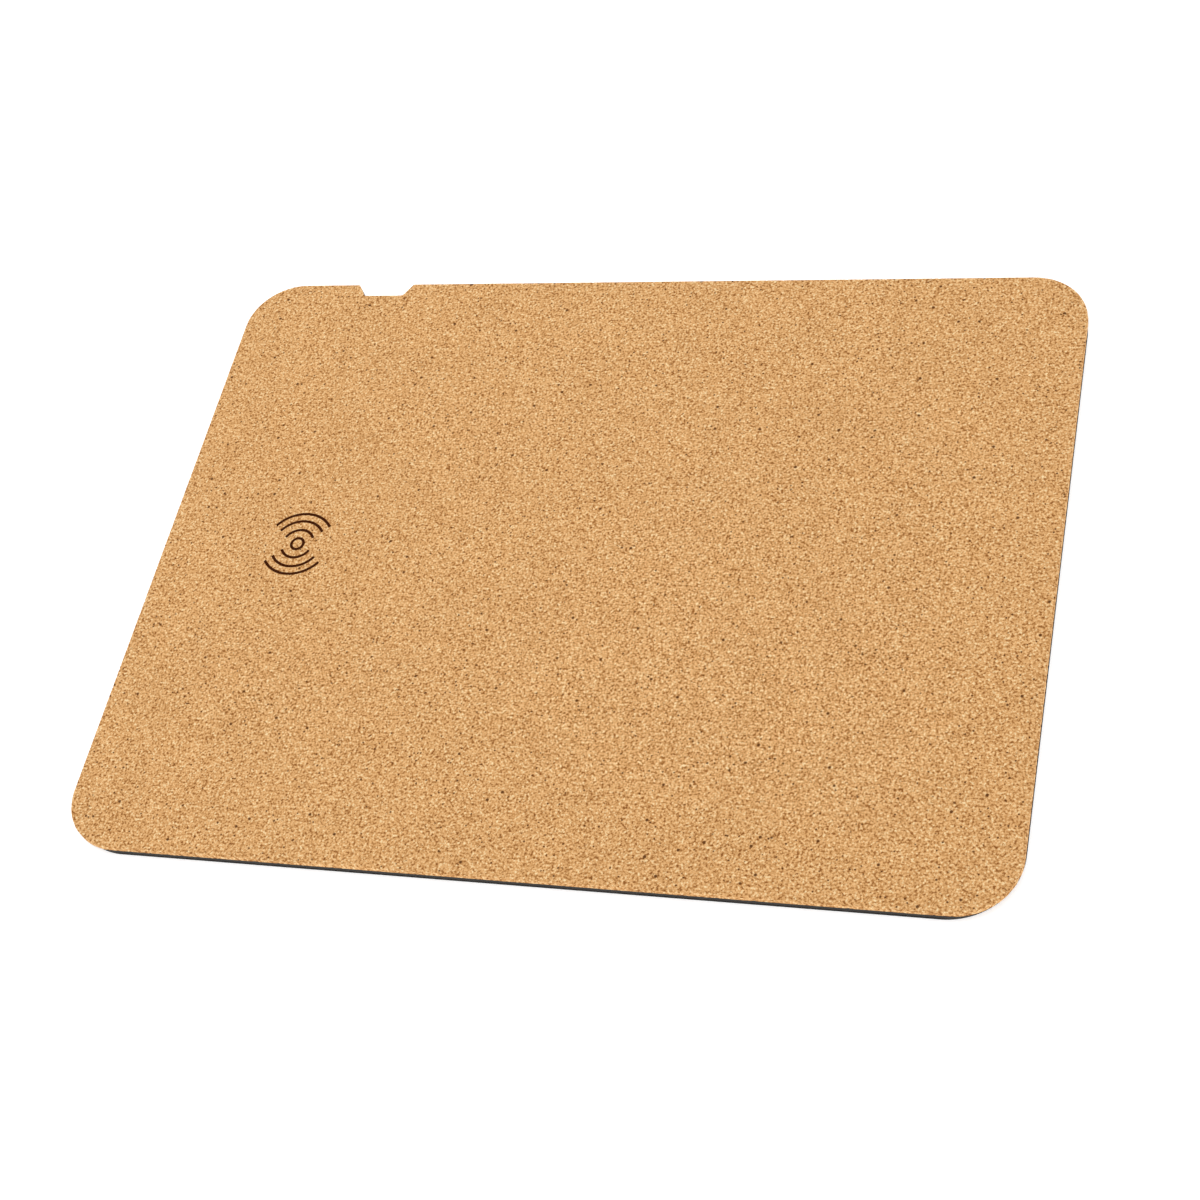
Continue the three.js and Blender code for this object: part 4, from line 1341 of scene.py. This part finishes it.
@dataclass(frozen=True)
class Winding:
    """The flat spiral of litz wire with both of its leads: one bundle of twisted strands."""

    finish: PlainFinish
    wire_radius: float = 0.3
    inner_radius: float = 10.2
    pitch: float = 1.12
    turns: int = 10
    join_angle: float = 60.0
    inner_turn_radius: float = 5.0
    lead_spacing: float = 2.4
    lead_bend: float = 7.0
    lead_rise: float = 5.0
    lead_on_board: float = 3.0
    seat_clearance: float = 0.05
    point_angle: float = 6.0
    bend_points: int = 12
    strands: int = 7
    sides_per_strand: int = 4
    strand_depth_share: float = 0.22
    lay: float = 7.0
    ring_step: float = 0.9

    def heights(self) -> tuple[float, float, float]:
        """Works out how high the wire lies on what carries it.

        Returns:
            The heights of its middle in metres: in the leads' channel, in the winding and on the board.
        """
        radius = self.wire_radius * MM
        seat = radius + self.seat_clearance * MM
        lead = box_of("charging_coil")[0].z + radius
        return lead, box_of("coil_carrier")[1].z + seat, box_of("circuit_board")[1].z + seat

    def slope(self, start: Vector, end: Vector) -> list[Vector]:
        """Gives points from one place to another whose height changes smoothly.

        Args:
            start: The first point, in metres.
            end: The last point, in metres.

        Returns:
            All the points.
        """
        points = []
        for k in range(self.bend_points + 1):
            along = k / self.bend_points
            point = start.lerp(end, along)
            point.z = start.z + (end.z - start.z) * along * along * (3 - 2 * along)
            points.append(point)
        return points

    def spiral(self, height: float) -> tuple[list[Vector], Vector, Vector]:
        """Winds the spiral from its outer end inwards, clockwise seen from above.

        Args:
            height: The height of the wire's middle, in metres.

        Returns:
            Its points about the coil's middle, and the way that the wire runs at the first and the last.
        """
        inner_end = math.asin(self.inner_turn_radius / self.inner_radius) - math.pi / 2
        join = math.radians(self.join_angle)
        sweep = self.turns * math.tau + join - inner_end
        count = round(sweep / math.radians(self.point_angle))
        points = []
        for k in range(count + 1):
            angle = join - sweep * k / count
            radius = (self.inner_radius + self.pitch * sweep * (1 - k / count) / math.tau) * MM
            points.append(Vector((radius * math.cos(angle), radius * math.sin(angle), height)))
        ways = [Vector((math.sin(angle), -math.cos(angle), 0.0)) for angle in (join, inner_end)]
        return points, *ways

    def path(self) -> list[Vector]:
        """Gives the wire's whole route: from the board down the outer lead, round the spiral to its inner
        end, down through the slot under the winding, and back to the board.

        Returns:
            The points of its middle line, in metres.
        """
        centre = coil_centre()
        lead_z, coil_z, board_z = self.heights()
        front = box_of("circuit_board")[0].y - centre.y
        points, first_way, last_way = self.spiral(coil_z)
        wound = points[0].xy.length + self.wire_radius * MM
        aside, bend, rise = self.lead_spacing * MM, self.lead_bend * MM, self.lead_rise * MM
        turn = self.inner_turn_radius * MM
        lead_end = front + self.lead_on_board * MM
        lifted = wound + bend
        outer = [Vector((aside, lead_end, board_z))]
        outer += self.slope(Vector((aside, front, board_z)), Vector((aside, front - rise, lead_z)))
        outer += self.slope(Vector((aside, lifted + rise, lead_z)), Vector((aside, lifted, coil_z)))
        inner_start = Vector((0.0, -turn / 2, coil_z))
        inner = self.slope(inner_start, Vector((0.0, turn / 2, lead_z)))
        inner += self.slope(Vector((0.0, front - rise, lead_z)), Vector((0.0, front, board_z)))
        inner.append(Vector((0.0, lead_end, board_z)))
        back = Vector((0.0, -1.0, 0.0))
        outer_bend = self.bent(outer[-1], back * bend, first_way * -bend, points[0])
        inner_bend = self.bent(points[-1], last_way * turn / 2, back * turn, inner_start)
        whole = outer + outer_bend + points + inner_bend + inner
        return [point + centre.to_3d() for point in whole]

    def bent(self, start: Vector, leaving: Vector, arriving: Vector, end: Vector) -> list[Vector]:
        """Gives the points between two ends of a bend, which leaves and arrives along two handles."""
        return interpolate_bezier(start, start + leaving, end + arriving, end, self.bend_points)[1:-1]

    def build(self) -> None:
        """Sweeps a lobed section along the route, and turns it as it goes."""
        route = self.path()
        start = bpy.data.meshes.new("route")
        start.from_pydata(route, [(k, k + 1) for k in range(len(route) - 1)], [])
        tree = GeometryTree("litz_wire")
        radius = tree.size("Wire Radius", self.wire_radius * MM)
        lay = tree.size("Lay", self.lay * MM)
        step = tree.size("Ring Step", self.ring_step * MM)
        depth = tree.size("Strand Depth Share", self.strand_depth_share)
        strands = tree.size("Strands", self.strands)
        sides = tree.math("MULTIPLY", strands, tree.size("Sides Per Strand", self.sides_per_strand))
        circle = tree.add("GeometryNodeCurvePrimitiveCircle", {"Resolution": sides, "Radius": radius})
        place = tree.position()
        angle = tree.math("ARCTAN2", tree.channel(place, "Y"), tree.channel(place, "X"))
        lobe = tree.math("COSINE", tree.math("MULTIPLY", angle, strands))
        sunk = tree.math("MULTIPLY", tree.math("SUBTRACT", lobe, 1.0), tree.math("MULTIPLY", depth, 0.5))
        section = tree.displaced(circle.outputs[0], tree.scaled(place, sunk))
        curve = tree.add("GeometryNodeMeshToCurve", {0: tree.inlet.outputs[0]}).outputs[0]
        inputs = {"Curve": curve, "Length": step}
        even = tree.add("GeometryNodeResampleCurve", inputs, mode="LENGTH").outputs[0]
        along = tree.add("GeometryNodeSplineParameter").outputs["Length"]
        twist = tree.math("MULTIPLY", tree.math("DIVIDE", along, lay), math.tau)
        laid = tree.add("GeometryNodeSetCurveTilt", {"Curve": even, "Tilt": twist}).outputs[0]
        inputs = {"Curve": laid, "Profile Curve": section, "Fill Caps": True}
        swept = tree.add("GeometryNodeCurveToMesh", inputs).outputs[0]
        mesh = smoothed(outwards(tree.grown(start, swept, self.finish)))
        set_out("litz_winding", mesh, self.finish, "charging_coil")


@dataclass(frozen=True)
class LeadTape:
    """A strip of film that is pressed down over both leads."""

    node: str
    finish: PlainFinish
    lead_spacing: float
    drape: float = 0.55
    lift: float = 0.02
    steps: int = 48
    sharp_angle: float = 60.0

    def build(self) -> None:
        """Makes the strip: over each wire it keeps its node's height, and between them it dips."""
        low, high = box_of(self.node)
        thickness = high.z - low.z
        floor = box_of("base_film")[1].z + self.lift * MM
        middle = (low.x + high.x) / 2
        half_spacing = self.lead_spacing * MM / 2
        points = []
        for k in range(self.steps + 1):
            x = low.x + (high.x - low.x) * k / self.steps
            nearest = min(abs(x - middle - half_spacing), abs(x - middle + half_spacing))
            rise = (low.z - floor) * math.exp(-((nearest / (self.drape * MM)) ** 2))
            for z in (floor + rise, floor + rise + thickness):
                points += [Vector((x, low.y, z)), Vector((x, high.y, z))]
        faces = [(0, 2, 3, 1)]
        for k in range(self.steps):
            a, b = 4 * k, 4 * k + 4
            faces += [(a, a + 1, b + 1, b), (a + 2, b + 2, b + 3, a + 3)]
            faces += [(a, b, b + 2, a + 2), (a + 1, a + 3, b + 3, b + 1)]
        last = 4 * self.steps
        faces.append((last, last + 1, last + 3, last + 2))
        mesh = smoothed(outwards(mesh_of(points, faces)), self.sharp_angle)
        set_out(f"draped_{self.node}", mesh, self.finish, self.node)


def has_tinned_ends(node: str) -> bool:
    """Says whether a node is a chip component, which is soldered at its two ends."""
    return any(name in node for name in ("capacitor", "resistor", "thermistor"))


@dataclass(frozen=True)
class SolderFillets:
    """The solder between the board and the ends of the chip components, and the packages' side pads."""

    finish: PlainFinish
    reach: float = 0.35
    height_share: float = 0.55
    inset: float = 0.06
    gap: float = 0.01
    pad_pitch: float = 0.65
    pad_width: float = 0.3
    pad_reach: float = 0.3
    pad_height: float = 0.04

    def wedge(self, foot: Vector, way: Vector, width: float, height: float, reach: float) -> list[Vector]:
        """Gives the six corners of a wedge that leans on what stands behind it.

        Args:
            foot: The middle of its edge below what it leans on.
            way: The direction that it slopes down in.
            width: Its width.
            height: Its height where it leans.
            reach: How far out it comes.

        Returns:
            Its corners: the foot's, the top's and the toe's, left and right.
        """
        side = Vector((-way.y, way.x, 0.0)) * (width / 2)
        top = foot + Vector((0.0, 0.0, height))
        toe = foot + way * reach
        return [place + offset for place in (foot, top, toe) for offset in (-side, side)]

    def corners(self) -> list[list[Vector]]:
        """Works out the wedges of every component.

        Returns:
            The six corners of each, in metres.
        """
        board = box_of("circuit_board")[1].z
        wedges = []
        for row in frame["record"]["subparts"]:
            node = row["node"]
            low, high = box_of(node)
            middle = (low + high) / 2
            if has_tinned_ends(node):
                height = (high.z - low.z) * self.height_share
                width = high.y - low.y - 2 * self.inset * MM
                for x, way in ((high.x, Vector((1.0, 0.0, 0.0))), (low.x, Vector((-1.0, 0.0, 0.0)))):
                    foot = Vector((x, middle.y, board)) + way * (self.gap * MM)
                    wedges.append(self.wedge(foot, way, width, height, self.reach * MM))
            elif "chip" in node or node == "choke":
                wedges += self.side_pads(low, high, board)
        return wedges

    def side_pads(self, low: Vector, high: Vector, board: float) -> list[list[Vector]]:
        """Works out the thin pads along the front and back edges of a package.

        Args:
            low: The package's lowest corner, in metres.
            high: Its highest corner, in metres.
            board: The height of the board's upper side, in metres.

        Returns:
            The six corners of each pad, in metres.
        """
        pitch = self.pad_pitch * MM
        count = int((high.x - low.x) / pitch)
        first = (low.x + high.x) / 2 - pitch * (count - 1) / 2
        pads = []
        for y, way in ((high.y, Vector((0.0, 1.0, 0.0))), (low.y, Vector((0.0, -1.0, 0.0)))):
            for k in range(count):
                foot = Vector((first + pitch * k, y, board)) + way * (self.gap * MM)
                pads.append(
                    self.wedge(foot, way, self.pad_width * MM, self.pad_height * MM, self.pad_reach * MM)
                )
        return pads

    def build(self) -> None:
        """Joins all the wedges in one piece."""
        points, faces = [], []
        for corners in self.corners():
            a = len(points)
            points += corners
            faces += [(a, a + 1, a + 3, a + 2), (a + 2, a + 3, a + 5, a + 4), (a, a + 4, a + 5, a + 1)]
            faces += [(a, a + 2, a + 4), (a + 1, a + 5, a + 3)]
        set_out("solder_fillets", outwards(mesh_of(points, faces)), self.finish)


@dataclass(frozen=True)
class Charger:
    """The coil, the board and the socket."""

    cap_length: float = 0.45

    def build(self) -> None:
        """Makes all that lies in the pockets of the sheets."""
        winding = Winding(COPPER)
        winding.build()
        for node in ("lead_tape_1", "lead_tape_2"):
            LeadTape(node, TAPE, winding.lead_spacing).build()
        SolderFillets(SOLDER).build()
        for finish, bevel in INNER_BEVELS.items():
            for node in nodes_in(finish.slot):
                piece = EasedPart(node, f"finished_{node}", finish, bevel).build()
                if has_tinned_ends(node):
                    self.tin(piece, node)

    def tin(self, piece: bpy.types.Object, node: str) -> None:
        """Gives a chip component its bright ends.

        Args:
            piece: The component's finished piece.
            node: Its node.
        """
        low, high = box_of(node)
        middle = (low.x + high.x) / 2
        inner = (high.x - low.x) / 2 - self.cap_length * MM
        piece.data.materials.append(SOLDER.material())
        for face in piece.data.polygons:
            face.material_index = int(abs(face.center.x - middle) > inner - FACE_REACH)


@dataclass(frozen=True)
class Studio:
    """The floor, the lights and the camera."""

    floor_size: float = 12.0
    floor_colour: Colour = (0.93, 0.93, 0.93, 1.0)
    floor_roughness: float = 0.9
    floor_glow: float = 0.5
    sky: float = 0.885
    backdrop: float = 1.1
    key_power: float = 3.05
    key_size: float = 0.9
    key_place: tuple[float, float, float] = (-0.6, 0.4, 1.1)
    camera_place: tuple[float, float, float] = (232.1, -379.2, 563.2)
    camera_target: tuple[float, float, float] = (9.56, -16.97, 5.0)
    camera_roll: float = -23.99
    lens: float = 67.106
    sensor: float = 36.0

    def build(self) -> None:
        """Makes all three."""
        self.floor()
        self.lights()
        self.camera()

    def floor(self) -> None:
        """Lays a plain pale floor under the pad. It glows a little, as a lit white backdrop does."""
        half = self.floor_size / 2
        signs = ((-1, -1), (1, -1), (1, 1), (-1, 1))
        corners = [Vector((x * half, y * half, 0.0)) for x, y in signs]
        mesh = mesh_of(corners, [(0, 1, 2, 3)])
        material = bpy.data.materials.new("floor")
        material.use_nodes = True
        shader = material.node_tree.nodes["Principled BSDF"]
        shader.inputs["Base Color"].default_value = self.floor_colour
        shader.inputs["Roughness"].default_value = self.floor_roughness
        shader.inputs["Emission Color"].default_value = WHITE
        shader.inputs["Emission Strength"].default_value = self.floor_glow
        mesh.materials.append(material)
        linked("floor", mesh)

    def lights(self) -> None:
        """Lights the pad softly from all round, and a little more from behind on its left. The backdrop
        that the camera sees is as white as the floor."""
        world = bpy.data.worlds.new("studio")
        world.use_nodes = True
        graph = Graph(world.node_tree)
        seen = graph.add("ShaderNodeLightPath").outputs["Is Camera Ray"]
        background = world.node_tree.nodes["Background"]
        graph.feed(background, "Strength", graph.fitted(seen, (0.0, 1.0), (self.sky, self.backdrop)))
        graph.feed(background, "Color", WHITE)
        bpy.context.scene.world = world
        light = bpy.data.lights.new("key", "AREA")
        light.size = self.key_size
        light.energy = self.key_power
        key = linked("key", light)
        key.location = self.key_place
        key.rotation_euler = (-Vector(self.key_place)).to_track_quat("-Z", "Y").to_euler()

    def camera(self) -> None:
        """Puts the camera where the photograph was taken from."""
        data = bpy.data.cameras.new("camera")
        data.lens = self.lens
        data.sensor_width = self.sensor
        camera = linked("camera", data)
        place = Vector(self.camera_place) * MM
        sight = Vector(self.camera_target) * MM - place
        roll = Quaternion((0.0, 0.0, 1.0), math.radians(self.camera_roll))
        camera.location = place
        camera.rotation_mode = "QUATERNION"
        camera.rotation_quaternion = sight.to_track_quat("-Z", "Y") @ roll
        bpy.context.scene.camera = camera
        bpy.context.scene.view_settings.view_transform = "Standard"


def main() -> None:
    """Builds the scene piece by piece."""
    logging.basicConfig(level=logging.INFO, format="%(message)s")
    Studio().build()
    CorkTop(PadOutline(), CorkFinish()).build()
    ChargingMark(MarkFinish()).build()
    BasePad(DARK_LAYERS, RUBBER).build()
    for part in (
        EasedPart("core_sheet", "core_board", CORE_BOARD, BOARD_BEVEL, DARK_LAYERS),
        EasedPart("cork_film", "upper_film", FILM, FILM_BEVEL, DARK_LAYERS),
        EasedPart("base_film", "lower_film", FILM, FILM_BEVEL, DARK_LAYERS),
    ):
        part.build()
    Charger().build()


if __name__ == "__main__":
    main()
